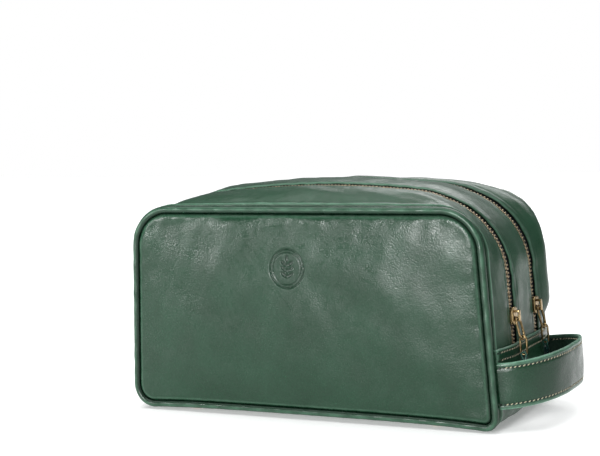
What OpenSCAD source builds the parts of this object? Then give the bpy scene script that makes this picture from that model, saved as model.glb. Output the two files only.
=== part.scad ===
// Leather wash bag with two zipped compartments and a wrist strap at one end.
// X runs along the bag towards the wrist strap, Y from front to back, Z up.
// The origin is on the resting plane, under the middle of the whole box.

/* [Bag] */
// Length between the outer faces of the piping, half-way up
bag_l = 260; // [230:5:300]
// Depth between the outer faces of the front and back piping
bag_d = 108; // [96:2:130]
// Height of the piping's highest line
bag_h = 141; // [125:1:160]
// How far the base stands out past mid-height at each end
flare = 4; // [0:0.5:8]
// Rise of the zipped top between the two pipings
crown_rise = 12; // [6:1:16]
// How far each end swells between the two pipings
end_swell = 5.3; // [2:0.1:8]
// Lift of the bottom edge between its corners
bottom_arch = 2.5; // [0:0.5:4]
// Corner radius of the piping at the top
piping_corner_r = 27; // [20:1:35]
// Corner radius of the zips where they turn over the top
zip_corner_r = 57; // [45:1:62]
// Bottom corner radius at the plain end
base_corner_plain_r = 17; // [12:1:20]
// Bottom corner radius at the strap end
base_corner_strap_r = 10; // [8:1:20]

/* [Leather] */
// Thickness of the leather panels
leather_t = 1.8; // [1.4:0.1:2.4]
// Radius of the rolled piping
piping_r = 2.4; // [2:0.1:2.6]
// How far the front and back panels are pillowed out
pillow = 4; // [0:0.5:5]
// Height of the end panels' top edge
end_panel_h = 52; // [44:1:54]

/* [Zips] */
// Distance of each zip's middle from the bag's middle
zip_y = 21.5; // [20:0.5:24]
// Half-width of the gap between the leather edges beside a zip
zip_gap = 4.6; // [4.4:0.1:5]
// Width of one half of the zip tape
tape_w = 12; // [8:1:14]
// Thickness of the zip tape
tape_t = 0.5; // [0.4:0.1:0.7]
// Width of one row of teeth
teeth_w = 2.25; // [2:0.05:2.4]
// Thickness of the teeth
teeth_t = 2.6; // [2.2:0.1:2.8]
// Height of the slider's pull pivot when the zip is closed
slider_z = 68; // [66:1:72]

/* [Slider and pull] */
// Length of the slider along the zip
slider_l = 11; // [9:0.5:12]
// Width of the slider's outer plate
slider_w = 9.6; // [9:0.1:9.8]
// Thickness of the slider's plates
plate_t = 1.3; // [1:0.1:1.4]
// Radius of the pull's wire
pull_wire_r = 0.8; // [0.7:0.05:0.85]
// Distance from the pull's pivot to the middle of its lower bar
pull_l = 14.5; // [12:0.5:15]
// Distance between the middles of the pull's legs at the bottom
pull_w = 7.6; // [7:0.1:8.5]
// How far the hanging pull leans away from the bag, in degrees
pull_tilt = 10.5; // [9:0.5:13]
// Radius of the link's wire
link_wire_r = 0.7; // [0.6:0.05:0.75]
// Bend radius of the link's ends, to the middle of its wire
link_bend_r = 2.1; // [2:0.05:2.2]
// Length of the link's straight legs
link_leg = 7.6; // [6:0.1:8]
// Width of the leather tab
tab_w = 6; // [5:0.5:6]
// Length of the tab below the link
tab_drop = 8; // [6:0.5:8.5]

/* [Wrist strap] */
// Width of the strap
strap_w = 29; // [25:1:32]
// Height of the strap's lower edge where it is sewn in
strap_z = 14.5; // [12:0.5:16]
// How far the strap stands out past the piping
strap_reach = 37; // [36:1:45]
// How far the strap lifts towards its middle
strap_lift = 5.5; // [0:0.5:6]
// Thickness of each of the strap's two layers
strap_layer_t = 1.3; // [1:0.1:1.5]

/* [Base] */
// Height of the feet
foot_h = 3.2; // [2.5:0.1:4]
// Radius of a foot
foot_r = 5.5; // [4:0.5:6]
// Distance of the feet from the bag's middle, along X
foot_x = 89; // [80:1:95]
// Distance of the feet from the bag's middle, along Y
foot_y = 40; // [36:1:42]
// Thickness of the stiffening board
board_t = 2; // [1.5:0.1:2.5]

/* [Hidden] */

leather_green = [0.25, 0.36, 0.29];
edge_green = [0.31, 0.47, 0.39];
tab_teal = [0.1, 0.2, 0.2];
tape_navy = [0.07, 0.1, 0.12];
antique_brass = [0.55, 0.45, 0.26];
lining_grey = [0.35, 0.36, 0.34];
board_grey = [0.5, 0.48, 0.45];

arc_steps = 10;           // segments in a corner
top_steps = 6;            // segments along the top and the bottom
side_steps = 3;           // segments up each end
gap = 0.3;                // clearance between separate pieces
seam = gusset_edge();     // Y of the gusset's sewn edge
swell_power = 4;          // how flat the top is between its edges
swell_foot = 38;          // height over which an end's swell dies away
tape_d = 2.2;             // depth of the zip tape below the leather's face
teeth_d = 0.9;            // depth of the teeth below the leather's face
teeth_gap = 0.65;         // half of the gap between the two rows
lean = atan(2 * flare / bag_h);   // tilt of the ends from upright
lining_d = 7.5;           // depth of the linings below the leather's face
lining_t = 0.8;

function gusset_edge() = bag_d / 2 - 2 * piping_r - gap;
function swell(y) = 1 - pow(min(1, abs(y) / seam), swell_power);
function flared(x, z) = x + sign(x) * flare * (1 - 2 * z / bag_h) * min(1, abs(x) / (bag_l / 4));
function arc(cx, cz, r, from, to) =
    [for (i = [0:arc_steps]) let (t = from + (to - from) * i / arc_steps) [cx + r * cos(t), cz + r * sin(t)]];
function between(p, q, steps) = [for (i = [1:steps - 1]) p + (q - p) * i / steps];
function arched(x, z) =
    let (inside = 1 - pow(min(1, abs(x) / (bag_l / 2 - 8)), 4))
    z + bottom_arch * inside * max(0, 1 - z / 30);

// Closed outline of a front or back panel, in X and Z, drawn in from the outer edge of the piping
function outline(inset) =
    let (
        a = bag_l / 2 - inset,
        low = foot_h - piping_r + inset,
        high = bag_h - inset,
        rt = piping_corner_r - inset,
        rs = max(base_corner_strap_r - inset, 2),
        rp = max(base_corner_plain_r - inset, 2),
        points = concat(
            arc(a - rs, low + rs, rs, -90, 0),
            between([a, low + rs], [a, high - rt], side_steps),
            arc(a - rt, high - rt, rt, 0, 90),
            between([a - rt, high], [rt - a, high], top_steps),
            arc(rt - a, high - rt, rt, 90, 180),
            between([-a, high - rt], [-a, low + rp], side_steps),
            arc(rp - a, low + rp, rp, 180, 270),
            between([rp - a, low], [a - rs, low], top_steps)))
    [for (p = points) [flared(p[0], p[1]), arched(p[0], p[1])]];

// Path of the zipped gusset at depth y, d below the leather's face, from one end panel to the other
function over_path(y, d) =
    let (
        a = bag_l / 2 - 1.5 + end_swell * swell(y) - d,
        high = bag_h - 1.5 + crown_rise * swell(y) - d,
        r = piping_corner_r + (zip_corner_r - piping_corner_r) * swell(y) - d,
        low = end_panel_h - 10,
        points = concat(
            [[-a, low]],
            between([-a, low], [-a, high - r], side_steps),
            arc(r - a, high - r, r, 180, 90),
            between([r - a, high], [a - r, high], top_steps),
            arc(a - r, high - r, r, 90, 0),
            between([a, high - r], [a, low], side_steps),
            [[a, low]]))
    [for (p = points) [flared(p[0], p[1]), y, p[1]]];

// Path of an end panel at depth y, d below the leather's face, from its top edge to under the base
function end_path(side, y, d) =
    let (
        r = (side > 0 ? base_corner_strap_r : base_corner_plain_r) - d,
        low = foot_h + d,
        tops = [for (i = [0:4]) end_panel_h - (end_panel_h - low - r) * i / 5],
        a = bag_l / 2 - 1.5 - d,
        corner = arc(a - r, low + r, r, 0, -90),
        points = concat([for (z = tops) [a, z]], corner, [[a - r - 6, low]]))
    [for (p = points)
        let (out = end_swell * swell(y) * min(1, max(0, p[1] - foot_h) / swell_foot))
        [side * (flared(p[0], p[1]) + out), y, p[1]]];

// Closed skin over rings of points, capped unless the rings close on themselves. A ladder cap is a row of
// quads across the ring, for long thin rings of an even number of points with straight sides.
module skin(rings, closed = false, ladder = false) {
    n = len(rings[0]);
    m = len(rings);
    end = (m - 1) * n;
    last = closed ? m - 1 : m - 2;
    sides = [for (j = [0:last]) for (i = [0:n - 1])
        let (k = (j + 1) % m, h = (i + 1) % n)
        each [[j * n + i, k * n + h, j * n + h], [j * n + i, k * n + i, k * n + h]]];
    whole = [[for (i = [0:n - 1]) i], [for (i = [n - 1:-1:0]) end + i]];
    rungs = [for (i = [0:n / 2 - 2])
        each [[i, i + 1, n - 2 - i, n - 1 - i], [end + n - 1 - i, end + n - 2 - i, end + i + 1, end + i]]];
    caps = closed ? [] : ladder ? rungs : whole;
    polyhedron(points = [for (r = rings) each r], faces = concat(sides, caps), convexity = 8);
}

// A strip of the zipped gusset from y0 to y1, between two depths
module over_strip(y0, y1, d0, d1, steps) {
    ys = [for (j = [0:steps]) y0 + (y1 - y0) * j / steps];
    outer = [for (y = ys) over_path(y, d0)];
    inner = [for (y = ys) over_path(y, d1)];
    count = len(outer[0]);
    skin([for (i = [0:count - 1]) concat(
        [for (j = [0:steps]) outer[j][i]],
        [for (j = [steps:-1:0]) inner[j][i]])]);
}

// A level strip beside a zip's middle line, so that the slider runs true
module zip_strip(zip, y0, y1, d0, d1) {
    outer = over_path(zip, d0);
    inner = over_path(zip, d1);
    skin([for (i = [0:len(outer) - 1]) [
        [outer[i][0], y0, outer[i][2]], [outer[i][0], y1, outer[i][2]],
        [inner[i][0], y1, inner[i][2]], [inner[i][0], y0, inner[i][2]]]]);
}

module panel(side) {
    edge_y = bag_d / 2 - 1;
    hub = [0, bag_h / 2];
    scales = [0.3, 0.55, 0.78, 0.93, 1];
    edge = outline(2 * piping_r + gap);
    function ring(s, y) = [for (p = edge) [hub[0] + (p[0] - hub[0]) * s, -side * y, hub[1] + (p[1] - hub[1]) * s]];
    function puffed(s) = edge_y + pillow * (1 - pow(s, 4));
    rings = concat(
        [for (s = scales) ring(s, puffed(s))],
        [for (i = [len(scales) - 1:-1:0]) ring(scales[i], puffed(scales[i]) - leather_t)]);
    skin(side > 0 ? [for (i = [len(rings) - 1:-1:0]) rings[i]] : rings);
}

module piping(side) {
    y = -side * (bag_d / 2 - piping_r);
    path = outline(piping_r);
    n = len(path);
    rings = [for (i = [0:n - 1])
        let (
            run = path[(i + 1) % n] - path[(i + n - 1) % n],
            out = [run[1], -run[0]] / norm(run))
        [for (k = [0:7]) [
            path[i][0] + out[0] * piping_r * cos(45 * k),
            y + piping_r * sin(45 * k),
            path[i][1] + out[1] * piping_r * cos(45 * k)]]];
    skin(rings, closed = true);
}

module front_panel() { color(leather_green) panel(1); }
module back_panel() { color(leather_green) panel(-1); }
module front_piping() { color(edge_green) piping(1); }
module back_piping() { color(edge_green) piping(-1); }

module front_gusset() { color(leather_green) over_strip(-seam, -zip_y - zip_gap, 0, leather_t, 5); }
module centre_gusset() { color(leather_green) over_strip(zip_gap - zip_y, zip_y - zip_gap, 0, leather_t, 6); }
module back_gusset() { color(leather_green) over_strip(zip_y + zip_gap, seam, 0, leather_t, 5); }

module end_panel(side) {
    steps = 20;
    ys = [for (j = [0:steps]) side * seam * (2 * j / steps - 1)];
    outer = [for (y = ys) end_path(side, y, -gap - leather_t)];
    inner = [for (y = ys) end_path(side, y, -gap)];
    skin([for (i = [len(outer[0]) - 1:-1:0]) concat(
        [for (j = [0:steps]) outer[j][i]],
        [for (j = [steps:-1:0]) inner[j][i]])], ladder = true);
}
module plain_end_panel() { color(leather_green) end_panel(-1); }
module strap_end_panel() { color(leather_green) end_panel(1); }

module at_feet() {
    for (x = [-foot_x, foot_x], y = [-foot_y, foot_y]) translate([x, y, 0]) children();
}

base_x0 = base_corner_plain_r - bag_l / 2 - flare + 1.5;
base_x1 = bag_l / 2 + flare - 1.5 - base_corner_strap_r;
stem_r = 1.5;
hole_r = stem_r + 0.1;

// A flat sheet over the base with a hole for each foot's stem
module base_sheet(inset, z, t) {
    translate([0, 0, z]) linear_extrude(t) difference() {
        translate([base_x0 + inset, -seam + inset])
            square([base_x1 - base_x0 - 2 * inset, 2 * (seam - inset)]);
        for (x = [-foot_x, foot_x], y = [-foot_y, foot_y]) translate([x, y]) circle(hole_r, $fn = 32);
    }
}
module base_panel() { color(leather_green) base_sheet(0, foot_h, leather_t); }
module base_board() { color(board_grey) base_sheet(2, foot_h + leather_t, board_t); }

board_top = foot_h + leather_t + board_t;
washer_t = 0.8;

module feet() {
    flat_r = 2;
    rise = 3;
    dome = [for (i = [0:8]) let (t = 90 * i / 8)
        [flat_r + (foot_r - flat_r) * sin(t), foot_h - rise * cos(t) - (foot_h - rise) * (1 - i / 8)]];
    color(antique_brass) at_feet() rotate_extrude($fn = 48)
        polygon(concat([[0, 0]], dome, [[stem_r, foot_h], [stem_r, board_top], [0, board_top]]));
}
module foot_washers() {
    color(antique_brass) at_feet() translate([0, 0, board_top]) cylinder(r = 4, h = washer_t, $fn = 32);
}

module divider() {
    top = bag_h + crown_rise - 1.5 - leather_t - gap;
    half_l = bag_l / 2 - 6;
    corner = 52;
    color(lining_grey) translate([0, lining_t, 0]) rotate([90, 0, 0]) linear_extrude(2 * lining_t)
        polygon(concat(
            [[-half_l, board_top + gap], [half_l, board_top + gap]],
            arc(half_l - corner, top - corner, corner, 0, 90),
            arc(corner - half_l, top - corner, corner, 90, 180)));
}

// A compartment's lining: a thin tray with a slot under its zip
module lining(side) {
    low = board_top + washer_t + gap;
    high = bag_h - lining_d;
    half_l = bag_l / 2 - lining_d;
    y_out = seam - 2;
    y_in = lining_t + 1;
    corner = 30;
    module block(inset, y0, y1) {
        translate([0, y1, 0]) rotate([90, 0, 0]) linear_extrude(y1 - y0)
            polygon(concat(
                [[inset - half_l, low + inset], [half_l - inset, low + inset]],
                arc(half_l - corner, high - corner, corner - inset, 0, 90),
                arc(corner - half_l, high - corner, corner - inset, 90, 180)));
    }
    color(lining_grey) mirror([0, side > 0 ? 0 : 1, 0]) difference() {
        block(0, -y_out, -y_in);
        block(lining_t, lining_t - y_out, -y_in - lining_t);
        translate([-bag_l, -zip_y - 6, end_panel_h + 4]) cube([2 * bag_l, 12, bag_h]);
    }
}
module front_lining() { lining(1); }
module back_lining() { lining(-1); }

// Half of a zip's tape: level under the teeth, then under the leather as that curves away
module half_tape(zip, side) {
    level = teeth_gap + teeth_w + gap;
    steps = 4;
    outwards = concat([teeth_gap + 0.15], [for (j = [0:steps]) level + (tape_w - level) * j / steps]);
    aways = side > 0 ? outwards : [for (j = [steps + 1:-1:0]) outwards[j]];
    function laid(away, d) =
        [for (p = over_path(away > level ? zip + side * away : zip, d)) [p[0], zip + side * away, p[2]]];
    outer = [for (a = aways) laid(a, tape_d)];
    inner = [for (a = aways) laid(a, tape_d + tape_t)];
    skin([for (i = [0:len(outer[0]) - 1]) concat(
        [for (j = [0:steps + 1]) outer[j][i]],
        [for (j = [steps + 1:-1:0]) inner[j][i]])]);
}
module tape(zip) {
    color(tape_navy) for (side = [-1, 1]) half_tape(zip, side);
}
// The two rows clamp the inner edges of the tape, so each is drawn as a bar above it and a bar below it
module teeth(zip) {
    color(antique_brass) for (row = [-1, 1], level = [0, 1]) {
        near = zip + row * teeth_gap;
        far = zip + row * (teeth_gap + teeth_w);
        d0 = level == 0 ? teeth_d : tape_d + tape_t;
        d1 = level == 0 ? tape_d : teeth_d + teeth_t;
        zip_strip(zip, min(near, far), max(near, far), d0, d1);
    }
}
module front_zip_tape() { tape(-zip_y); }
module back_zip_tape() { tape(zip_y); }
module front_zip_teeth() { teeth(-zip_y); }
module back_zip_teeth() { teeth(zip_y); }

// The strap end of a zip: children are drawn with X outwards, Z up the run and the origin on the
// leather's face, level with the pull's pivot
run_x = flared(bag_l / 2 - 1.5 + end_swell * swell(zip_y), slider_z);
module on_run(zip) {
    translate([run_x, zip, slider_z]) rotate([0, -lean, 0]) children();
}

plate_out = 0.35 + plate_t;                 // outer face of the slider's plate
pivot_out = plate_out + gap + pull_wire_r;  // the pull's pivot, out from the leather
bridge_in = pivot_out + pull_wire_r + 1.5 * gap;   // inner face of the slider's bridge
bridge_t = 0.9;
bridge_w = 3;
post_l = 1.4;
bridge_half = 3.6;                          // half of the bridge's length along the run
pull_rise = bridge_half - post_l - pull_wire_r - 0.5;   // the pivot hangs near the bridge's foot

module slider(zip) {
    centre_z = pull_rise;   // the slider's middle, above the pivot
    web_t = 0.6;
    lip_t = 0.8;
    under_d = teeth_d + teeth_t + 0.5;
    color(antique_brass) on_run(zip) translate([0, 0, centre_z]) {
        // outer plate, with round ends
        intersection() {
            translate([0.35, -slider_w / 2, -slider_l / 2]) cube([plate_t, slider_w, slider_l]);
            rotate([0, 90, 0]) cylinder(r = slider_l / 2 + 0.9, h = 4, $fn = 48);
        }
        // lips beside the teeth
        for (s = [-1, 1]) translate([-1.2, s > 0 ? 3.3 : -3.3 - lip_t, -slider_l / 2 + 1.2])
            cube([1.6, lip_t, slider_l - 2.4]);
        // wedge between the rows, which joins the two plates
        translate([-under_d - 0.2, -web_t / 2, -slider_l / 2 + 1]) cube([under_d + 0.7, web_t, 4]);
        // inner plate
        translate([-under_d - plate_t, -3.7, -slider_l / 2 + 0.8]) cube([plate_t, 7.4, slider_l - 1.6]);
        // bridge that holds the pull
        for (s = [-1, 1]) translate([plate_out - 0.1, -bridge_w / 2, s > 0 ? bridge_half - post_l : -bridge_half])
            cube([bridge_in - plate_out + 0.2, bridge_w, post_l]);
        translate([bridge_in, -bridge_w / 2, -bridge_half]) cube([bridge_t, bridge_w, 2 * bridge_half]);
    }
}
module front_slider() { slider(-zip_y); }
module back_slider() { slider(zip_y); }

// A closed loop of wire: two straight legs and two round ends, with the upper bend's middle at the origin
module wire_loop(bend_r, leg, wire_r) {
    module bend() {
        rotate_extrude(angle = 180, $fn = 48) translate([bend_r, 0]) circle(wire_r, $fn = 24);
    }
    bend();
    translate([0, -leg, 0]) rotate([0, 0, 180]) bend();
    for (s = [-1, 1]) translate([s * bend_r, 0, 0]) rotate([90, 0, 0])
        cylinder(r = wire_r, h = leg, $fn = 24);
}

// A wire loop that swings on the slider's bridge
module pull(zip) {
    bend_r = pull_w / 2;
    color(antique_brass) on_run(zip) translate([pivot_out, 0, 0]) rotate([0, -pull_tilt, 0])
        translate([0, 0, -bend_r]) rotate([0, 0, 90]) rotate([90, 0, 0])
            wire_loop(bend_r, pull_l - pull_w, pull_wire_r);
}
module front_pull() { pull(-zip_y); }
module back_pull() { pull(zip_y); }

hang_x = pivot_out + pull_l * sin(pull_tilt);   // the pull's lower bar, out from the leather
hang_z = -pull_l * cos(pull_tilt);              // and below the pivot

// An oval link that hangs edge-on from the pull's lower bar
module pull_link(zip) {
    color(antique_brass) on_run(zip) translate([hang_x, 0, hang_z]) rotate([90, 0, 0])
        wire_loop(link_bend_r, link_leg, link_wire_r);
}
module front_pull_link() { pull_link(-zip_y); }
module back_pull_link() { pull_link(zip_y); }

// A leather tab: a narrow neck folded over the link's lower bend, and two wider layers sewn together below it
module pull_tab(zip) {
    neck_w = 2.2;
    layer = 0.9;
    throat_r = link_wire_r + 0.45;
    throat_rise = 0.15;   // the link's wire curves up at each side of the neck
    neck_r = throat_r + layer;
    body_top = -2.6;
    bend_z = hang_z - link_leg - link_bend_r;
    color(tab_teal) on_run(zip) translate([hang_x, 0, bend_z]) {
        rotate([0, 0, 90]) rotate([90, 0, 0]) translate([0, 0, -neck_w / 2]) linear_extrude(neck_w)
            difference() {
                union() {
                    translate([0, throat_rise]) circle(neck_r, $fn = 48);
                    polygon([[-neck_r + 0.2, -0.6], [neck_r - 0.2, -0.6], [layer, body_top - 0.6], [-layer, body_top - 0.6]]);
                }
                translate([0, throat_rise]) circle(throat_r, $fn = 48);
            }
        translate([-tab_w / 2, -layer, -tab_drop]) cube([tab_w, 2 * layer, tab_drop + body_top]);
    }
}
module front_pull_tab() { pull_tab(-zip_y); }
module back_pull_tab() { pull_tab(zip_y); }

strap_steps = 24;
strap_root_x = bag_l / 2 + flare - 3;
strap_half = seam - 1.5;
strap_power = 0.8;
// Middle line of the strap in plan, as a softened rectangle
function strap_at(t) = [
    strap_root_x + (strap_reach + 3 - flare) * pow(sin(t), strap_power),
    -strap_half * sign(cos(t)) * pow(abs(cos(t)), strap_power),
    strap_lift * sin(t)];

// One layer of the strap, between two distances out from its inner face
module strap_layer(in, out) {
    rings = [for (i = [0:strap_steps])
        let (
            t = 180 * i / strap_steps,
            p = strap_at(t),
            ahead = strap_at(min(180, t + 1)),
            behind = strap_at(max(0, t - 1)),
            run = [ahead[0] - behind[0], ahead[1] - behind[1]],
            side = [run[1], -run[0]] / norm(run),
            low = strap_z + p[2],
            high = low + strap_w)
        [[p[0] + side[0] * in, p[1] + side[1] * in, low], [p[0] + side[0] * out, p[1] + side[1] * out, low],
         [p[0] + side[0] * out, p[1] + side[1] * out, high], [p[0] + side[0] * in, p[1] + side[1] * in, high]]];
    skin(rings);
}
module strap_outer() { color(leather_green) strap_layer(-strap_layer_t, 0); }
module strap_inner() { color(edge_green) strap_layer(-2 * strap_layer_t, -strap_layer_t); }

// The whole box's middle lies between the plain end panel's swell and the strap's outer face
plain_reach = max([for (p = end_path(-1, 0, -gap - leather_t)) -p[0]]);
strap_reach_x = strap_root_x + strap_reach + 3 - flare;
module placed() { translate([(plain_reach - strap_reach_x) / 2, 0, 0]) children(); }

placed() front_panel();
placed() back_panel();
placed() front_piping();
placed() back_piping();
placed() front_gusset();
placed() centre_gusset();
placed() back_gusset();
placed() plain_end_panel();
placed() strap_end_panel();
placed() base_panel();
placed() base_board();
placed() divider();
placed() front_lining();
placed() back_lining();
placed() front_zip_tape();
placed() back_zip_tape();
placed() front_zip_teeth();
placed() back_zip_teeth();
placed() front_slider();
placed() back_slider();
placed() front_pull();
placed() back_pull();
placed() front_pull_link();
placed() back_pull_link();
placed() front_pull_tab();
placed() back_pull_tab();
placed() strap_outer();
placed() strap_inner();
placed() feet();
placed() foot_washers();
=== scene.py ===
"""Leather wash bag with two zipped compartments and a wrist strap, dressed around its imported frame.

Everything is in metres, in the frame's own axes: X runs along the bag towards the wrist strap, Y from front
to back and Z up, with the resting plane at zero.
"""

import logging
import math
from collections.abc import Callable, Iterator, Sequence
from contextlib import contextmanager
from dataclasses import dataclass
from enum import Enum

import bmesh
import bpy
import numpy as np
from mathutils import Matrix, Vector


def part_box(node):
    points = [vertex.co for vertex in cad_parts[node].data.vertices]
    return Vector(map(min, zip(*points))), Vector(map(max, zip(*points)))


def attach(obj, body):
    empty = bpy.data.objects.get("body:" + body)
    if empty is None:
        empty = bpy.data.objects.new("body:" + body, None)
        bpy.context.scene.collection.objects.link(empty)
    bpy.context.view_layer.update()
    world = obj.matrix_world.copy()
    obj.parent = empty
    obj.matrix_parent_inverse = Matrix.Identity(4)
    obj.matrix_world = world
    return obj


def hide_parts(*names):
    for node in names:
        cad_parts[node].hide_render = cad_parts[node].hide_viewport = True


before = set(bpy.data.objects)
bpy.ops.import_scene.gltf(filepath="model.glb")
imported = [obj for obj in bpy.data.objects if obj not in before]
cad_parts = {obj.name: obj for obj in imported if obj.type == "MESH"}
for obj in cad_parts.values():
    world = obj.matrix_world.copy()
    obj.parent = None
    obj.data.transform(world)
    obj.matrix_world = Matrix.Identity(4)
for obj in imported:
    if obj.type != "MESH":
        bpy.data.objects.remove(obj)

LOG = logging.getLogger("wash_bag")
MM = 0.001
Array = np.ndarray
Surface = Callable[[Array, Array], Array]
Colour = tuple[float, float, float]


class Face(Enum):
    """A long face of the bag, by the sign of its Y."""

    FRONT = -1
    BACK = 1

    @property
    def word(self) -> str:
        """The face's name, as pieces carry it."""
        return self.name.lower()


class End(Enum):
    """A short end of the bag, by the sign of its X."""

    PLAIN = -1
    STRAP = 1

    @property
    def word(self) -> str:
        """The end's name, as pieces carry it."""
        return self.name.lower()


class Edge(Enum):
    """How a strip of leather is finished along one side."""

    SEAM = "sewn beside the piping"
    FOLD = "turned under beside a zip"


# ---------------------------------------------------------------- bench


def deselect_all() -> None:
    """Leave nothing selected, the frame's own nodes included."""
    bpy.ops.object.select_all(action="DESELECT")


def activate(obj: bpy.types.Object) -> None:
    """Select one object alone and make it the active one.

    Args:
        obj: The object to work on.
    """
    deselect_all()
    obj.select_set(True)
    bpy.context.view_layer.objects.active = obj


@contextmanager
def editing(obj: bpy.types.Object) -> Iterator[bmesh.types.BMesh]:
    """Open an object in edit mode with nothing selected, and close it again.

    Args:
        obj: The mesh object to edit.

    Yields:
        The mesh under edit, for picking faces and edges by their place.
    """
    activate(obj)
    bpy.ops.object.mode_set(mode="EDIT")
    bpy.ops.mesh.select_mode(type="FACE")
    bpy.ops.mesh.select_all(action="DESELECT")
    yield bmesh.from_edit_mesh(obj.data)
    bpy.ops.object.mode_set(mode="OBJECT")


def pick_faces(mesh: bmesh.types.BMesh, wanted: Callable[[Vector, Vector], bool]) -> None:
    """Select the faces whose middle and normal pass a test.

    Args:
        mesh: The mesh under edit.
        wanted: Takes a face's middle and its normal.
    """
    for face in mesh.faces:
        face.select_set(wanted(face.calc_center_median(), face.normal))


def round_edges(obj: bpy.types.Object, width: float, segments: int = 2) -> None:
    """Bevel the sharp edges of a small hard part.

    Args:
        obj: The part.
        width: How far each bevel reaches.
        segments: Steps across each bevel.
    """
    activate(obj)
    bevel = obj.modifiers.new("rounding", "BEVEL")
    bevel.width = width
    bevel.segments = segments
    bevel.limit_method = "ANGLE"
    bevel.angle_limit = math.radians(40)
    bpy.ops.object.modifier_apply(modifier=bevel.name)


def thicken(obj: bpy.types.Object, thickness: float) -> None:
    """Give a sheet its thickness, inwards from its face.

    Args:
        obj: The sheet.
        thickness: The wall's thickness.
    """
    activate(obj)
    wall = obj.modifiers.new("wall", "SOLIDIFY")
    wall.thickness = thickness
    wall.offset = -1.0
    bpy.ops.object.modifier_apply(modifier=wall.name)


def join(name: str, parts: Sequence[bpy.types.Object]) -> bpy.types.Object:
    """Join parts into one named piece.

    Args:
        name: The piece's name.
        parts: The parts, of which the first stays.

    Returns:
        The joined piece.
    """
    deselect_all()
    for part in parts:
        part.select_set(True)
    bpy.context.view_layer.objects.active = parts[0]
    bpy.ops.object.join()
    parts[0].name = parts[0].data.name = name
    return parts[0]


def settle(obj: bpy.types.Object, place: Matrix) -> bpy.types.Object:
    """Move a piece's mesh to its place, and leave its object at the origin.

    Args:
        obj: The piece, built in its own local axes.
        place: The local axes' place in the frame.

    Returns:
        The same piece.
    """
    obj.data.transform(place @ obj.matrix_world)
    obj.matrix_world = Matrix.Identity(4)
    return obj


def block(size: Sequence[float], centre: Sequence[float], rounding: float = 0.0) -> bpy.types.Object:
    """Add a box with rounded edges, to be shaped or joined to others.

    Args:
        size: Its three sides.
        centre: Its middle.
        rounding: How far its edges are rounded.

    Returns:
        The box.
    """
    deselect_all()
    bpy.ops.mesh.primitive_cube_add(size=1.0, location=centre)
    box = bpy.context.object
    box.scale = size
    bpy.ops.object.transform_apply(location=True, rotation=True, scale=True)
    if rounding > 0:
        round_edges(box, rounding)
    return box


def resample(points: Array, count: int, closed: bool = False) -> Array:
    """Space points evenly along a path.

    Args:
        points: The path, one point a row, of two or three coordinates and then anything that goes with them.
        count: How many points to return.
        closed: Whether the path runs back to its first point.

    Returns:
        The evenly spaced points.
    """
    path = np.vstack([points, points[:1]]) if closed else points
    reach = np.concatenate([[0.0], np.cumsum(np.linalg.norm(np.diff(path[:, :3], axis=0), axis=1))])
    wanted = np.linspace(0.0, reach[-1], count + 1)[:count] if closed else np.linspace(0.0, reach[-1], count)
    return np.column_stack([np.interp(wanted, reach, path[:, k]) for k in range(path.shape[1])])


def ripple(p: Array, q: Array, length: float, seed: int) -> Array:
    """Smooth uneven relief, mostly between -1 and 1.

    Args:
        p: First coordinate over the surface.
        q: Second coordinate over the surface.
        length: Typical length of its waves.
        seed: Which of many such reliefs.

    Returns:
        The relief at each point.
    """
    rng = np.random.default_rng(seed)
    waves = 8
    total = np.zeros(np.broadcast(p, q).shape)
    for _ in range(waves):
        turn, phase = rng.uniform(0, 2 * math.pi, 2)
        pace = 2 * math.pi / (length * rng.uniform(0.6, 1.7))
        total = total + np.sin(pace * (p * math.cos(turn) + q * math.sin(turn)) + phase)
    return total / math.sqrt(waves)


def bump(x: Array, middle: float, reach: float) -> Array:
    """A smooth rise of height 1 around a middle.

    Args:
        x: Where to read it.
        middle: Where it peaks.
        reach: How far it spreads to each side.

    Returns:
        Its height.
    """
    return np.exp(-(((x - middle) / reach) ** 2))


def normals_of(surface: Surface, u: Array, v: Array) -> Array:
    """Unit normals of a surface, by small steps along both of its parameters.

    Args:
        surface: Takes u and v and returns points.
        u: First parameter.
        v: Second parameter.

    Returns:
        One normal a row, on the side that u then v turn about.
    """
    du, dv = 1e-4, 5e-5
    along = surface(u + du, v) - surface(u - du, v)
    across = surface(u, v + dv) - surface(u, v - dv)
    normal = np.cross(along, across)
    return normal / np.maximum(np.linalg.norm(normal, axis=1, keepdims=True), 1e-12)


def sheet(
    name: str,
    steps: tuple[int, int],
    shape: Callable[[Array, Array], tuple[Array, Array, Array]],
    thickness: float,
) -> bpy.types.Object:
    """Lay a grid over a shape and give it a wall, as a leather sheet is formed.

    Args:
        name: The piece's name.
        steps: Faces along u and along v.
        shape: Takes u and v from 0 to 1, and returns points, outward normals and wear, which also carries
            painted highlight and, below 0, painted shade.
        thickness: The wall's thickness, inwards.

    Returns:
        The sheet, with its wear, painted highlight and painted shade kept as one point attribute.
    """
    deselect_all()
    bpy.ops.mesh.primitive_grid_add(x_subdivisions=steps[0], y_subdivisions=steps[1], size=2.0)
    obj = bpy.context.object
    obj.name = obj.data.name = name
    mesh = obj.data
    flat = np.empty(len(mesh.vertices) * 3, np.float32)
    mesh.vertices.foreach_get("co", flat)
    u, v = (flat.reshape(-1, 3)[:, :2].astype(float).T + 1) / 2
    points, outward, wear_and_painted_light = shape(u, v)
    mesh.vertices.foreach_set("co", points.astype(np.float32).ravel())
    mesh.attributes.new("wear_and_painted_light", "FLOAT", "POINT").data.foreach_set("value", wear_and_painted_light.astype(np.float32))
    mesh.update()
    facing = np.empty(len(mesh.vertices) * 3, np.float32)
    mesh.vertex_normals.foreach_get("vector", facing)
    if (facing.reshape(-1, 3) * outward).sum() < 0:
        mesh.flip_normals()
    if thickness > 0:
        thicken(obj, thickness)
    return obj


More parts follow.
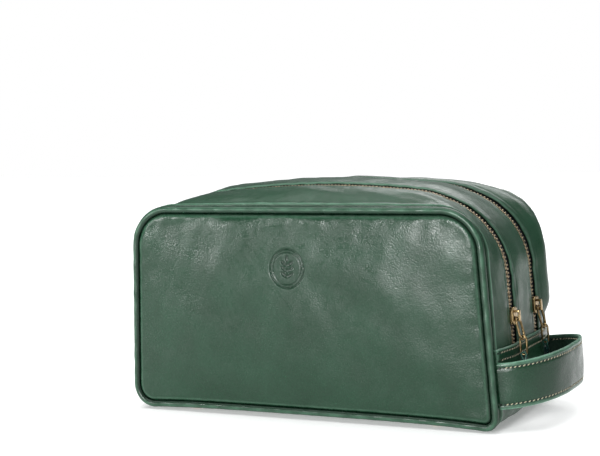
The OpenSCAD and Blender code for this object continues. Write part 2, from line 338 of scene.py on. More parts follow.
def tube_loop(
    name: str,
    loop: Array,
    aside: Vector,
    radius: float,
    sides: int = 16,
    wear_and_painted_light: Callable[[Array, Array], Array] | None = None,
) -> bpy.types.Object:
    """Roll a grid into a tube round a flat closed loop, and close its two seams.

    Args:
        name: The piece's name.
        loop: The loop's points, evenly spaced, one a row.
        aside: Unit vector square to the loop's plane.
        radius: The tube's radius.
        sides: Faces round the tube.
        wear_and_painted_light: Takes the share along the loop and the angle round the tube, and returns wear
            with its painted highlight and painted shade, from -1 to 1.

    Returns:
        The closed tube, with its faces outwards.
    """
    deselect_all()
    count = len(loop)
    bpy.ops.mesh.primitive_grid_add(x_subdivisions=count, y_subdivisions=sides, size=2.0)
    obj = bpy.context.object
    obj.name = obj.data.name = name
    run = np.roll(loop, -1, axis=0) - np.roll(loop, 1, axis=0)
    run /= np.linalg.norm(run, axis=1, keepdims=True)
    out = np.cross(run, np.array(aside))
    flat = np.empty(len(obj.data.vertices) * 3, np.float32)
    obj.data.vertices.foreach_get("co", flat)
    u, v = (flat.reshape(-1, 3)[:, :2].astype(float).T + 1) / 2
    at = np.rint(u * count).astype(int) % count
    turn = 2 * np.pi * np.rint(v * sides) / sides
    points = loop[at] + radius * (np.cos(turn)[:, None] * out[at] + np.sin(turn)[:, None] * np.array(aside))
    obj.data.vertices.foreach_set("co", points.astype(np.float32).ravel())
    if wear_and_painted_light is not None:
        worn_and_painted_light = wear_and_painted_light(at / count, turn).astype(np.float32)
        obj.data.attributes.new("wear_and_painted_light", "FLOAT", "POINT").data.foreach_set("value", worn_and_painted_light)
    obj.data.update()
    with editing(obj):
        bpy.ops.mesh.select_all(action="SELECT")
        bpy.ops.mesh.remove_doubles(threshold=1e-6)
        bpy.ops.mesh.normals_make_consistent(inside=False)
    return obj


def copies(name: str, pattern: bpy.types.Object, places: Sequence[Matrix]) -> bpy.types.Object:
    """Repeat a small part, each copy with its own mesh, and join the copies into one piece.

    Args:
        name: The piece's name.
        pattern: The part, modelled at the origin. It is removed.
        places: Where each copy goes.

    Returns:
        The joined piece.
    """
    parts = []
    for place in places:
        part = pattern.copy()
        part.data = pattern.data.copy()
        part.data.transform(place)
        bpy.context.scene.collection.objects.link(part)
        parts.append(part)
    bpy.data.objects.remove(pattern)
    return join(name, parts)


def axes(place: Array, along: Array, out: Array) -> Matrix:
    """A place whose local X runs along a path and whose local Z stands out of the surface.

    Args:
        place: The origin.
        along: Direction of local X.
        out: Rough direction of local Z.

    Returns:
        The place as a matrix.
    """
    x = Vector(along).normalized()
    y = Vector(out).cross(x).normalized()
    z = x.cross(y)
    turned = Matrix((x, y, z)).transposed().to_4x4()
    return Matrix.Translation(Vector(place)) @ turned


# ---------------------------------------------------------------- finishes


class Wiring:
    """Adds nodes to one material and links them."""

    def __init__(self, name: str) -> None:
        """Start a material from a bare shader.

        Args:
            name: The material's name.
        """
        self.material = bpy.data.materials.new(name)
        self.material.use_nodes = True
        self.nodes = self.material.node_tree.nodes
        self.links = self.material.node_tree.links
        self.shader = self.nodes["Principled BSDF"]
        self.place = self.nodes.new("ShaderNodeTexCoord").outputs["Object"]

    def feed(self, socket: bpy.types.NodeSocket, value: object) -> None:
        """Link a socket to an input, or set the input's own value."""
        if isinstance(value, bpy.types.NodeSocket):
            self.links.new(value, socket)
        else:
            socket.default_value = value

    def add(self, kind: str, inputs: dict[str | int, object], **settings: object) -> bpy.types.Node:
        """Add a node with its settings and inputs.

        Args:
            kind: The node's type, after "ShaderNode".
            inputs: Values or sockets, by the input's name or number.
            **settings: The node's own properties.

        Returns:
            The node.
        """
        node = self.nodes.new("ShaderNode" + kind)
        for key, value in settings.items():
            setattr(node, key, value)
        for key, value in inputs.items():
            self.feed(node.inputs[key], value)
        return node

    def math(self, operation: str, a: object, b: object = 0.0) -> bpy.types.NodeSocket:
        """The result of one Math node."""
        return self.add("Math", {0: a, 1: b}, operation=operation).outputs[0]

    def spread(
        self, value: object, low: float, high: float, start: float, end: float
    ) -> bpy.types.NodeSocket:
        """Carry a value from the range low to high into start to end, and clamp it there."""
        inputs = {"Value": value, "From Min": low, "From Max": high, "To Min": start, "To Max": end}
        return self.add("MapRange", inputs, clamp=True).outputs["Result"]

    def mix(self, share: object, a: object, b: object) -> bpy.types.NodeSocket:
        """Blend two colours, from a at 0 to b at 1."""
        colours = [(*c, 1.0) if isinstance(c, tuple) else c for c in (a, b)]
        node = self.add("Mix", {0: share, 6: colours[0], 7: colours[1]}, data_type="RGBA")
        return node.outputs[2]

    def noise(self, scale: float, detail: float = 3.0, twist: float = 0.0) -> bpy.types.NodeSocket:
        """A noise's value over the piece, with its scale in waves a metre."""
        inputs = {"Vector": self.place, "Scale": scale, "Detail": detail, "Distortion": twist}
        return self.add("TexNoise", inputs).outputs["Fac"]

    def cells(self, scale: float) -> bpy.types.NodeSocket:
        """Distance to the middle of the nearest cell, with the scale in cells a metre."""
        inputs = {"Vector": self.place, "Scale": scale}
        return self.add("TexVoronoi", inputs).outputs["Distance"]

    def relief(
        self, height: object, strength: float, depth: float, under: object = None
    ) -> bpy.types.NodeSocket:
        """A bump over an earlier one.

        Args:
            height: The height's socket.
            strength: The share of it that shows.
            depth: How deep it is, in metres.
            under: The earlier bump's normal, if there is one.

        Returns:
            The normal's socket.
        """
        inputs = {"Height": height, "Strength": strength, "Distance": depth}
        if under is not None:
            inputs["Normal"] = under
        return self.add("Bump", inputs).outputs["Normal"]

    def wear_and_painted_light(self) -> bpy.types.NodeSocket:
        """How worn the piece is at each point, from its own attribute, which also holds painted highlights
        and, below 0, painted shade.
        """
        return self.add("Attribute", {}, attribute_name="wear_and_painted_light").outputs["Fac"]

    def finish(
        self, colour: object, roughness: object, normal: object, **constants: float
    ) -> bpy.types.Material:
        """Feed the shader and return the material.

        Args:
            colour: Base colour.
            roughness: Roughness.
            normal: Normal.
            **constants: Shader inputs that are the same all over, with _ for each space.

        Returns:
            The finished material.
        """
        self.feed(self.shader.inputs["Base Color"], colour)
        self.feed(self.shader.inputs["Roughness"], roughness)
        self.feed(self.shader.inputs["Normal"], normal)
        for key, value in constants.items():
            self.shader.inputs[key.replace("_", " ")].default_value = value
        return self.material


@dataclass(frozen=True)
class StitchHoles:
    """Needle holes in rows that follow a sheet's own UV map."""

    length: float
    width: float
    pitch: float
    rows: tuple[float, ...]
    radius: float = 0.85 * MM
    skipped: int = 2

    @property
    def count(self) -> int:
        """How many stitches fit in a row."""
        return round(self.length / self.pitch)

    def places(self) -> Array:
        """Where the sewn holes are along the UV map's U, without those skipped at each end."""
        return np.arange(self.skipped, self.count + 1 - self.skipped) / self.count

    def mask(self, wiring: Wiring) -> bpy.types.NodeSocket:
        """Where the holes are, from 0 on the leather to 1 in a hole.

        Args:
            wiring: The material that gets the nodes.

        Returns:
            The mask's socket.
        """
        uv = wiring.add("SeparateXYZ", {0: wiring.add("TexCoord", {}).outputs["UV"]})
        step = wiring.math("FRACT", wiring.math("MULTIPLY", uv.outputs["X"], float(self.count)))
        off = wiring.math("SUBTRACT", 0.5, wiring.math("ABSOLUTE", wiring.math("SUBTRACT", step, 0.5)))
        along = wiring.math("MULTIPLY", off, self.pitch)
        total: object = 0.0
        for row in self.rows:
            beside = wiring.math("SUBTRACT", uv.outputs["Y"], row / self.width)
            across = wiring.math("MULTIPLY", beside, self.width)
            away = wiring.add("CombineXYZ", {0: along, 1: across}).outputs[0]
            distance = wiring.add("VectorMath", {0: away}, operation="LENGTH").outputs["Value"]
            hole = wiring.spread(distance, 0.5 * self.radius, self.radius, 1.0, 0.0)
            total = wiring.math("MAXIMUM", total, hole)
        return total


@dataclass(frozen=True)
class LeatherFinish:
    """Waxed, finely pebbled leather.

    A piece's wear attribute pales it where it is rubbed, up to 1; along piping crests, seam ridges and the
    panel's rim this paling is partly a painted highlight. Down to -1 it darkens it with painted shade in its
    seams, under folds and in pressed recesses.
    """

    name: str
    deep: Colour
    body: Colour
    rubbed: Colour
    painted_shade: Colour = (0.0015, 0.005, 0.003)
    roughness: float = 0.27
    pebble: float = 1050.0
    grain_depth: float = 0.16 * MM
    coat: float = 0.1
    coat_roughness: float = 0.28
    specular: float = 0.32

    def material(self, holes: StitchHoles | None = None) -> bpy.types.Material:
        """Build the leather.

        Args:
            holes: Needle holes along its stitching, if it has any.

        Returns:
            The material.
        """
        w = Wiring(self.name)
        clouds = w.noise(38.0, 5.0, 0.3)
        veins = w.noise(170.0, 4.0, 0.8)
        pebbles = w.cells(self.pebble)
        pores = w.noise(2400.0, 2.0)
        colour = w.mix(w.spread(clouds, 0.3, 0.7, 0.0, 1.0), self.deep, self.body)
        colour = w.mix(w.spread(pebbles, 0.35, 0.75, 0.0, 0.22), colour, self.deep)
        # Paling where the leather is rubbed; on piping crests, seam ridges and the panel's rim it is partly a
        # painted highlight.
        worn_and_painted_light = w.math("MULTIPLY", w.wear_and_painted_light(), w.spread(veins, 0.3, 0.6, 0.55, 1.0))
        colour = w.mix(w.math("MAXIMUM", worn_and_painted_light, 0.0), colour, self.rubbed)
        # Painted shade: below 0 the wear attribute darkens the leather towards the painted shade colour, in
        # seams, under folds and in the emblem's recesses.
        colour = w.mix(w.spread(w.wear_and_painted_light(), -1.0, 0.0, 0.9, 0.0), colour, self.painted_shade)
        rough = w.math("ADD", w.spread(veins, 0.3, 0.7, -0.06, 0.08), self.roughness)
        rough = w.math("ADD", rough, w.spread(pores, 0.35, 0.7, -0.03, 0.05))
        normal = w.relief(veins, 0.2, 0.25 * MM)
        normal = w.relief(w.spread(pebbles, 0.1, 0.8, 1.0, 0.0), 0.4, self.grain_depth, normal)
        normal = w.relief(pores, 0.3, 0.04 * MM, normal)
        if holes:
            mask = holes.mask(w)
            # Painted shade: each needle hole is darkened nearly to black, as well as sunk by the bump below.
            colour = w.mix(w.math("MULTIPLY", mask, 0.9), colour, (0.004, 0.006, 0.005))
            normal = w.relief(w.math("SUBTRACT", 1.0, mask), 1.0, 0.3 * MM, normal)
        return w.finish(
            colour, rough, normal,
            Coat_Weight=self.coat, Coat_Roughness=self.coat_roughness, Specular_IOR_Level=self.specular,
        )


@dataclass(frozen=True)
class BrassFinish:
    """Antiqued brass, dark where a polishing cloth doesn't reach."""

    name: str
    bright: Colour = (0.43, 0.31, 0.15)
    dark: Colour = (0.06, 0.04, 0.02)
    tarnish: float = 0.75
    roughness: float = 0.24

    def material(self) -> bpy.types.Material:
        """Build the brass."""
        w = Wiring(self.name)
        patches = w.noise(420.0, 4.0, 0.5)
        fine = w.noise(3800.0, 3.0)
        edges = w.add("NewGeometry", {}).outputs["Pointiness"]
        kept = w.math("MULTIPLY", w.spread(patches, 0.35, 0.7, 0.0, 1.0), self.tarnish)
        kept = w.math("ADD", kept, w.spread(edges, 0.42, 0.5, 0.55, 0.0))
        colour = w.mix(w.math("MINIMUM", kept, 1.0), self.bright, self.dark)
        rough = w.math("ADD", w.spread(patches, 0.3, 0.75, 0.0, 0.18), self.roughness)
        return w.finish(colour, rough, w.relief(fine, 0.25, 0.03 * MM), Metallic=1.0)


@dataclass(frozen=True)
class ClothFinish:
    """Plain woven cloth or tape, its threads counted over the piece's own UV map or over its place."""

    name: str
    warp: Colour
    weft: Colour
    threads: tuple[float, float]
    by_uv: bool = True
    roughness: float = 0.85

    def material(self) -> bpy.types.Material:
        """Build the cloth."""
        w = Wiring(self.name)
        source = w.add("TexCoord", {}).outputs["UV"] if self.by_uv else w.place
        parts = w.add("SeparateXYZ", {0: source})
        second = "Y" if self.by_uv else "Z"
        waves = [
            w.math("SINE", w.math("MULTIPLY", parts.outputs[axis], count * 2 * math.pi))
            for axis, count in zip(("X", second), self.threads)
        ]
        crossing = w.math("MULTIPLY", waves[0], waves[1])
        fuzz = w.noise(1500.0, 4.0)
        shade = w.math("ADD", w.spread(crossing, -1.0, 1.0, 0.0, 0.7), w.spread(fuzz, 0.3, 0.7, 0.0, 0.3))
        normal = w.relief(fuzz, 0.3, 0.05 * MM, w.relief(crossing, 0.6, 0.12 * MM))
        rough = w.spread(fuzz, 0.3, 0.7, self.roughness - 0.08, self.roughness + 0.08)
        return w.finish(
            w.mix(shade, self.warp, self.weft), rough, normal,
            Sheen_Weight=0.04, Sheen_Roughness=0.5, Specular_IOR_Level=0.25,
        )


@dataclass(frozen=True)
class ThreadFinish:
    """Waxed sewing thread."""

    name: str
    clean: Colour = (0.46, 0.42, 0.29)
    soiled: Colour = (0.24, 0.23, 0.14)

    def material(self) -> bpy.types.Material:
        """Build the thread."""
        w = Wiring(self.name)
        soil = w.noise(260.0, 3.0)
        twist = w.noise(3200.0, 2.0, 1.5)
        colour = w.mix(w.spread(soil, 0.4, 0.7, 0.0, 0.6), self.clean, self.soiled)
        rough = w.spread(soil, 0.3, 0.7, 0.5, 0.65)
        return w.finish(colour, rough, w.relief(twist, 0.6, 0.1 * MM), Sheen_Weight=0.1)


@dataclass(frozen=True)
class BoardFinish:
    """Grey fibre board."""

    name: str

    def material(self) -> bpy.types.Material:
        """Build the board."""
        w = Wiring(self.name)
        flecks, pulp = w.noise(900.0, 5.0), w.noise(110.0, 4.0)
        colour = w.mix(w.spread(flecks, 0.35, 0.65, 0.0, 1.0), (0.16, 0.15, 0.13), (0.3, 0.28, 0.25))
        rough = w.spread(pulp, 0.3, 0.7, 0.8, 0.95)
        return w.finish(colour, rough, w.relief(flecks, 0.4, 0.1 * MM))


class Wardrobe:
    """Every finish on the bag, each made once."""

    def __init__(self) -> None:
        """Build the finishes that several pieces share."""
        green = {"deep": (0.0050, 0.0290, 0.0125), "body": (0.0078, 0.0405, 0.0190)}
        self.panel = LeatherFinish("panel_green", rubbed=(0.09, 0.20, 0.13), **green).material()
        pale = {"deep": (0.0095, 0.043, 0.0195), "body": (0.0150, 0.061, 0.0305), "roughness": 0.35}
        self.gusset = LeatherFinish("gusset_green", rubbed=(0.12, 0.25, 0.17), **pale).material()
        self.stitched = LeatherFinish("end_green", rubbed=(0.12, 0.25, 0.17), **pale)
        self.piping = LeatherFinish(
            "piping_green",
            deep=(0.0055, 0.0300, 0.0135), body=(0.0090, 0.0410, 0.0205), rubbed=(0.11, 0.25, 0.16),
            roughness=0.3, grain_depth=0.06 * MM,
        ).material()
        self.tab = LeatherFinish(
            "tab_teal",
            deep=(0.003, 0.014, 0.014), body=(0.006, 0.026, 0.024), rubbed=(0.03, 0.11, 0.08),
        ).material()
        self.edging = LeatherFinish("strap_green", rubbed=(0.17, 0.34, 0.24), **green)
        self.lining_leather = LeatherFinish(
            "strap_lining_green",
            deep=(0.006, 0.022, 0.013), body=(0.011, 0.036, 0.021), rubbed=(0.12, 0.24, 0.17),
            roughness=0.6, coat=0.05,
        )
        self.brass = BrassFinish("antique_brass_fittings").material()
        self.teeth = BrassFinish(
            "zip_tooth_brass",
            bright=(0.46, 0.36, 0.23), dark=(0.045, 0.032, 0.02), tarnish=0.8, roughness=0.32,
        ).material()
        self.tape = ClothFinish(
            "navy_zip_tape", (0.003, 0.005, 0.008), (0.010, 0.014, 0.020), (620.0, 9.0)
        ).material()
        self.lining = ClothFinish(
            "grey_lining", (0.06, 0.065, 0.06), (0.13, 0.135, 0.125), (700.0, 700.0), by_uv=False
        ).material()
        self.thread = ThreadFinish("ivory_thread").material()
        self.board = BoardFinish("fibre_board").material()


def present(
    obj: bpy.types.Object,
    material: bpy.types.Material,
    body: str,
    stands_for: Sequence[str] = (),
) -> None:
    """Dress a finished piece and fix it to its body.

    Args:
        obj: The piece, in its place.
        material: Its finish.
        body: The body it moves with.
        stands_for: The frame's nodes that it takes the place of.
    """
    obj.data.materials.clear()
    obj.data.materials.append(material)
    activate(obj)
    bpy.ops.object.shade_smooth_by_angle(angle=math.radians(50))
    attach(obj, body)
    if stands_for:
        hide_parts(*stands_for)
    LOG.info("%s: %d faces on %s", obj.name, len(obj.data.polygons), body)


# ---------------------------------------------------------------- bag


@dataclass(frozen=True)
class BagShape:
    """The sewn bag's sizes, and the surfaces that follow from them."""

    middle: float
    length: float = 260 * MM
    depth: float = 108 * MM
    height: float = 141 * MM
    flare: float = 4 * MM
    crown: float = 12 * MM
    end_swell: float = 5.3 * MM
    crest: float = 2.0 * MM
    crest_x: float = 5 * MM
    slump: float = 5.0 * MM
    slump_reach: float = 85 * MM
    back_fullness: float = 2.2
    back_start: float = 25 * MM
    back_blend: float = 12 * MM
    clear_blend: float = 18 * MM
    arch: float = 2.5 * MM
    piping_r: float = 2.4 * MM
    face_corner_r: float = 27 * MM
    zip_corner_r: float = 57 * MM
    plain_corner_r: float = 17 * MM
    strap_corner_r: float = 10 * MM
    leather_t: float = 1.8 * MM
    foot_h: float = 3.2 * MM
    end_panel_h: float = 52 * MM
    tuck: float = 1.5 * MM
    zip_y: float = 21.5 * MM
    zip_gap: float = 4.6 * MM
    zip_shift: float = 0.9 * MM
    tape_d: float = 2.2 * MM
    slider_z: float = 68 * MM

    @property
    def seam(self) -> float:
        """Distance of the gusset's sewn edge from the middle of the bag."""
        return self.depth / 2 - 2 * self.piping_r - 0.3 * MM

    @property
    def lean(self) -> float:
        """Tilt of the ends from upright."""
        return math.atan(2 * self.flare / self.height)

    def swell(self, y: Array) -> Array:
        """Share of the full swell at a depth, 1 in the middle and 0 at the seams."""
        return 1 - np.minimum(1, np.abs(y) / self.seam) ** 4

    def fuller(self, y: Array) -> Array:
        """What the back compartment adds to the ends' swell at a depth."""
        share = np.minimum(1, np.abs(y) / self.seam)
        blend = np.clip((y - self.back_start) / self.back_blend, 0, 1)
        return self.back_fullness * blend * (share**4 - share**10)

    def clear(self, z: Array) -> Array:
        """How far a height is clear of the end panels' top edges, from 0 beside them to 1 well above."""
        rise = np.clip((z - self.end_panel_h - 1 * MM) / self.clear_blend, 0, 1)
        return rise * rise * (3 - 2 * rise)

    def flared(self, x: Array, z: Array) -> Array:
        """X of a point of the straight-sided bag once its base stands out."""
        share = np.minimum(1, np.abs(x) / (self.length / 4))
        return x + np.sign(x) * self.flare * (1 - 2 * z / self.height) * share

    def arched(self, x: Array, z: Array) -> Array:
        """Height of a point once the bottom edge lifts between its corners."""
        inside = 1 - np.minimum(1, np.abs(x) / (self.length / 2 - 8 * MM)) ** 4
        return z + self.arch * inside * np.maximum(0, 1 - z / (30 * MM))

    def outline(self, inset: float, y: float, count: int) -> Array:
        """Closed outline of a long face, drawn in from the piping's outer edge.

        Args:
            inset: How far in.
            y: The depth it lies at.
            count: How many points.

        Returns:
            The points, evenly spaced.
        """
        a, low, high = self.length / 2 - inset, self.foot_h - self.piping_r + inset, self.height - inset
        corners = (
            (1, -1, self.strap_corner_r), (1, 1, self.face_corner_r),
            (-1, 1, self.face_corner_r), (-1, -1, self.plain_corner_r),
        )
        points = []
        for k, (sx, sz, radius) in enumerate(corners):
            r = max(radius - inset, 2 * MM)
            turn = np.radians(90 * (k - 1) + np.linspace(0, 90, 24))
            x, z = sx * (a - r) + r * np.cos(turn), (high if sz > 0 else low) - sz * r + r * np.sin(turn)
            points.append(np.column_stack([x, z]))
        x, z = resample(np.vstack(points), count, closed=True).T
        return np.column_stack([self.middle + self.flared(x, z), np.full(count, y), self.arched(x, z)])

    def over(self, t: Array, y: Array) -> Array:
        """The zipped gusset's face, from the plain end's edge over the top to the strap end's.

        Args:
            t: 0 to 1 along the gusset.
            y: Depth.

        Returns:
            The points.
        """
        side_share, bend_share = 0.24, 0.4
        s = self.swell(y)
        high = self.height - self.tuck + self.crown * s
        r = self.face_corner_r + (self.zip_corner_r - self.face_corner_r) * s
        low = self.end_panel_h - 10 * MM
        q = 1 - np.abs(2 * t - 1)
        rise = np.minimum(q / side_share, 1)
        turn = np.clip((q - side_share) / bend_share, 0, 1) * np.pi / 2
        run = np.clip((q - side_share - bend_share) / (1 - side_share - bend_share), 0, 1)
        z = low + rise * (high - r - low) + r * np.sin(turn)
        a = self.length / 2 - self.tuck + self.end_swell * (s + self.clear(z) * self.fuller(y))
        x = a - r * (1 - np.cos(turn)) - run * (a - r)
        x = np.where(t > 0.5, x, -x)
        sag = np.minimum(((x - self.crest_x) / self.slump_reach) ** 2, 1.2)
        z = z + (self.crest - self.slump * sag) * s * np.sin(turn)
        return np.column_stack([self.middle + self.flared(x, z), y, z])

    def end(self, side: End, q: Array, y: Array) -> Array:
        """An end's face, under its own panel.

        Args:
            side: Which end.
            q: 0 at the panel's top edge to 1 under the base.
            y: Depth.

        Returns:
            The points.
        """
        r = self.strap_corner_r if side is End.STRAP else self.plain_corner_r
        a, low = self.length / 2 - self.tuck, self.foot_h
        fall, bend, tail = self.end_panel_h - low - r, r * math.pi / 2, 8 * MM
        s = q * (fall + bend + tail)
        turn = np.clip((s - fall) / r, 0, math.pi / 2)
        x = a - r + r * np.cos(turn) - np.maximum(0, s - fall - bend)
        z = low + r - r * np.sin(turn) + np.maximum(0, fall - s)
        out = self.end_swell * self.swell(y) * np.clip((z - self.foot_h) / (38 * MM), 0, 1)
        return np.column_stack([self.middle + side.value * (self.flared(x, z) + out), y, z])

    def end_length(self, side: End) -> float:
        """Length of an end panel from its top edge to under the base."""
        r = self.strap_corner_r if side is End.STRAP else self.plain_corner_r
        return self.end_panel_h - self.foot_h - r + r * math.pi / 2 + 8 * MM

    def on_run(self, face: Face) -> Matrix:
        """Where a zip's pull hangs: local X outwards, Z up the run, level with the pull's pivot."""
        y = np.array([self.zip_y])
        x = self.length / 2 - self.tuck + self.end_swell * float(self.swell(y)[0])
        x = float(self.flared(np.array([x]), np.array([self.slider_z]))[0])
        place = Matrix.Translation((self.middle + x, face.value * self.zip_y, self.slider_z))
        return place @ Matrix.Rotation(-self.lean, 4, "Y")


@dataclass(frozen=True)
class Emblem:
    """A plain roundel pressed into the front panel: two rings round a sprig of leaves."""

    x: float = -6.8 * MM
    z: float = 101 * MM
    radius: float = 13.2 * MM
    press: float = 0.7 * MM

    def depth(self, x: Array, z: Array) -> Array:
        """How deep the leather is pressed at each point.

        Args:
            x: Distance along the bag from its middle.
            z: Height.

        Returns:
            The depth.
        """
        dx, dz = x - self.x, z - self.z
        away = np.hypot(dx, dz)
        outer_ring = bump(away, self.radius - 0.7 * MM, 0.55 * MM)
        rings = outer_ring + 0.7 * bump(away, self.radius - 2.6 * MM, 0.35 * MM)
        dish = 0.35 / (1 + np.exp(np.minimum((away - self.radius + 1.2 * MM) / (0.35 * MM), 40.0)))
        stem = bump(dx, 0, 0.4 * MM) * (np.abs(dz + 0.5 * MM) < 6.2 * MM)
        leaves = np.zeros_like(away)
        long, wide = 2.5 * MM, 1.05 * MM
        tips = [(0.0, 6.3 * MM, 0.0)] + [
            (side * 2.5 * MM, (level * 3.6 - 4.0) * MM, -side * math.radians(48))
            for level in range(3) for side in (-1, 1)
        ]
        for lx, lz, turn in tips:
            c, s = math.cos(turn), math.sin(turn)
            p, q = (dx - lx) * c + (dz - lz) * s, (dz - lz) * c - (dx - lx) * s
            away_leaf = np.minimum((p / wide) ** 2 + (q / long) ** 2, 9.0)
            leaves = np.maximum(leaves, 1 / (1 + np.exp(7 * (away_leaf - 1))))
        return self.press * (rings + dish + np.maximum(0.9 * leaves, 0.8 * stem))


@dataclass
class FacePanel:
    """A long face of the bag: a pillowed leather panel that rolls into the seam beside its piping."""

    shape: BagShape
    face: Face
    emblem: Emblem | None
    inset: float = 4.7 * MM
    edge_y: float = 51.2 * MM
    roll: float = 4.2 * MM
    roll_rise: float = 2.2 * MM
    pillow: float = 4.6 * MM
    wall: float = 1.3 * MM
    steps: tuple[int, int] = (196, 132)

    def graded(self, u: Array, middle: float, half: float, fine: float) -> Array:
        """Carry even steps into steps that close up at the edges and round the emblem.

        Args:
            u: Even steps from 0 to 1.
            middle: The emblem's place along this side.
            half: Half of this side's length.
            fine: Half of the length with fine steps.

        Returns:
            Places from -half to half.
        """
        places = np.linspace(-half, half, 4001)
        emblem = 3.2 / (1 + np.exp((np.abs(places - middle) - fine) / (2 * MM)))
        edges = 2.6 * np.exp(-(half - np.abs(places)) / (4 * MM))
        crowd = np.cumsum(1 + edges + emblem)
        crowd = (crowd - crowd[0]) / (crowd[-1] - crowd[0])
        return np.interp(u, crowd, places)

    def form(self, u: Array, v: Array) -> tuple[Array, Array, Array]:
        """Shape the panel's outer face.

        Args:
            u: 0 to 1 along the bag.
            v: 0 to 1 up the bag.

        Returns:
            Points, outward normals and wear, with painted shade in the seam and the emblem's recesses and a
            partly painted highlight on the rim.
        """
        shape = self.shape
        low, high = shape.foot_h - shape.piping_r + self.inset, shape.height - self.inset
        a, b, mid = shape.length / 2 - self.inset, (high - low) / 2, (high + low) / 2
        mark_x, mark_z = (self.emblem.x, self.emblem.z - mid) if self.emblem else (0.0, 0.0)
        x = self.graded(u, mark_x, a, 14 * MM if self.emblem else 0.0)
        z = self.graded(v, mark_z, b, 14 * MM if self.emblem else 0.0)
        lower = np.where(x > 0, shape.strap_corner_r, shape.plain_corner_r)
        r = np.where(z > 0, shape.face_corner_r, lower) - self.inset
        s, t = np.clip((np.abs(x) - a + r) / r, 0, 1), np.clip((np.abs(z) - b + r) / r, 0, 1)
        corner = (s > 0) & (t > 0)
        x = np.where(corner, np.sign(x) * (a - r + r * s * np.sqrt(1 - t * t / 2)), x)
        z = np.where(corner, np.sign(z) * (b - r + r * t * np.sqrt(1 - s * s / 2)), z)
        px, pz = np.abs(x) - a + r, np.abs(z) - b + r
        inside = r - np.minimum(np.maximum(px, pz), 0) - np.hypot(np.maximum(px, 0), np.maximum(pz, 0))
        inside = np.maximum(inside, 0)
        rolled = np.sqrt(1 - (1 - np.minimum(1, inside / self.roll)) ** 2)
        puff = (1 - np.abs(x / a) ** 2.8) * (1 - np.abs(z / b) ** 2.4)
        y = self.edge_y + self.roll_rise * rolled + self.pillow * puff
        seed = 3 if self.face is Face.FRONT else 8
        calm = np.minimum(1, inside / (6 * MM))
        y = y + calm * (0.42 * MM * ripple(x, z, 58 * MM, seed) + 0.10 * MM * ripple(x, z, 17 * MM, seed + 1))
        pulled = np.exp(-inside / (7 * MM)) * np.minimum(1, inside / (1.5 * MM))
        y = y + 0.22 * MM * pulled * ripple(x, z, 13 * MM, seed + 2)
        height = z + mid
        # Paler rim 2 mm in from the seam, worn and partly a painted highlight; painted shade darkens the seam
        # itself beside the piping.
        wear_and_painted_light = 0.35 * bump(inside, 2.0 * MM, 0.7 * MM) - 0.95 * bump(inside, 0.0, 1.0 * MM)
        if self.emblem:
            pressed = self.emblem.depth(x, height)
            y = y - pressed
            # Painted shade in the emblem's pressed recesses.
            wear_and_painted_light = wear_and_painted_light - 0.45 * pressed / self.emblem.press
        place = np.column_stack(
            [shape.middle + shape.flared(x, height), self.face.value * y, shape.arched(x, height)]
        )
        outward = np.tile([0.0, float(self.face.value), 0.0], (len(x), 1))
        return place, outward, np.clip(wear_and_painted_light, -1, 1)

    def build(self, wardrobe: Wardrobe) -> None:
        """Make and dress the panel."""
        word = self.face.word
        steps = self.steps if self.emblem else (120, 72)
        piece = sheet(f"{word}_panel_leather", steps, self.form, self.wall)
        present(piece, wardrobe.panel, "bag", [f"{word}_panel"])


@dataclass
class Piping:
    """The rolled leather piping round one long face."""

    shape: BagShape
    face: Face
    count: int = 420
    sides: int = 16

    def build(self, wardrobe: Wardrobe) -> None:
        """Make and dress the piping."""
        shape, word = self.shape, self.face.word
        y = self.face.value * (shape.depth / 2 - shape.piping_r)
        loop = shape.outline(shape.piping_r, y, self.count)
        t = np.linspace(0, 1, self.count, endpoint=False)
        sway = 0.16 * MM * sum(np.sin(2 * np.pi * (k * t) + k * k) for k in (37, 52, 71)) / 1.7
        loop[:, 1] += self.face.value * sway

        def rub(along: Array, around: Array) -> Array:
            """Wear along the piping's crest, partly a painted highlight, and painted shade in the seam beside
            the panel.
            """
            crest = 0.5 + 0.5 * np.cos(around - math.radians(100) * self.face.value)
            seam = 0.5 + 0.5 * np.cos(around - math.radians(10) * self.face.value)
            # Paler crest, worn and partly a painted highlight; painted shade on the side that faces the
            # panel.
            return 0.42 * crest**8 * (0.75 + 0.25 * np.sin(2 * np.pi * 43 * along)) - 0.9 * seam**4

        aside, radius = Vector((0, 1, 0)), shape.piping_r * 0.98
        piece = tube_loop(f"{word}_piping_leather", loop, aside, radius, self.sides, rub)
        present(piece, wardrobe.piping, "bag", [f"{word}_piping"])


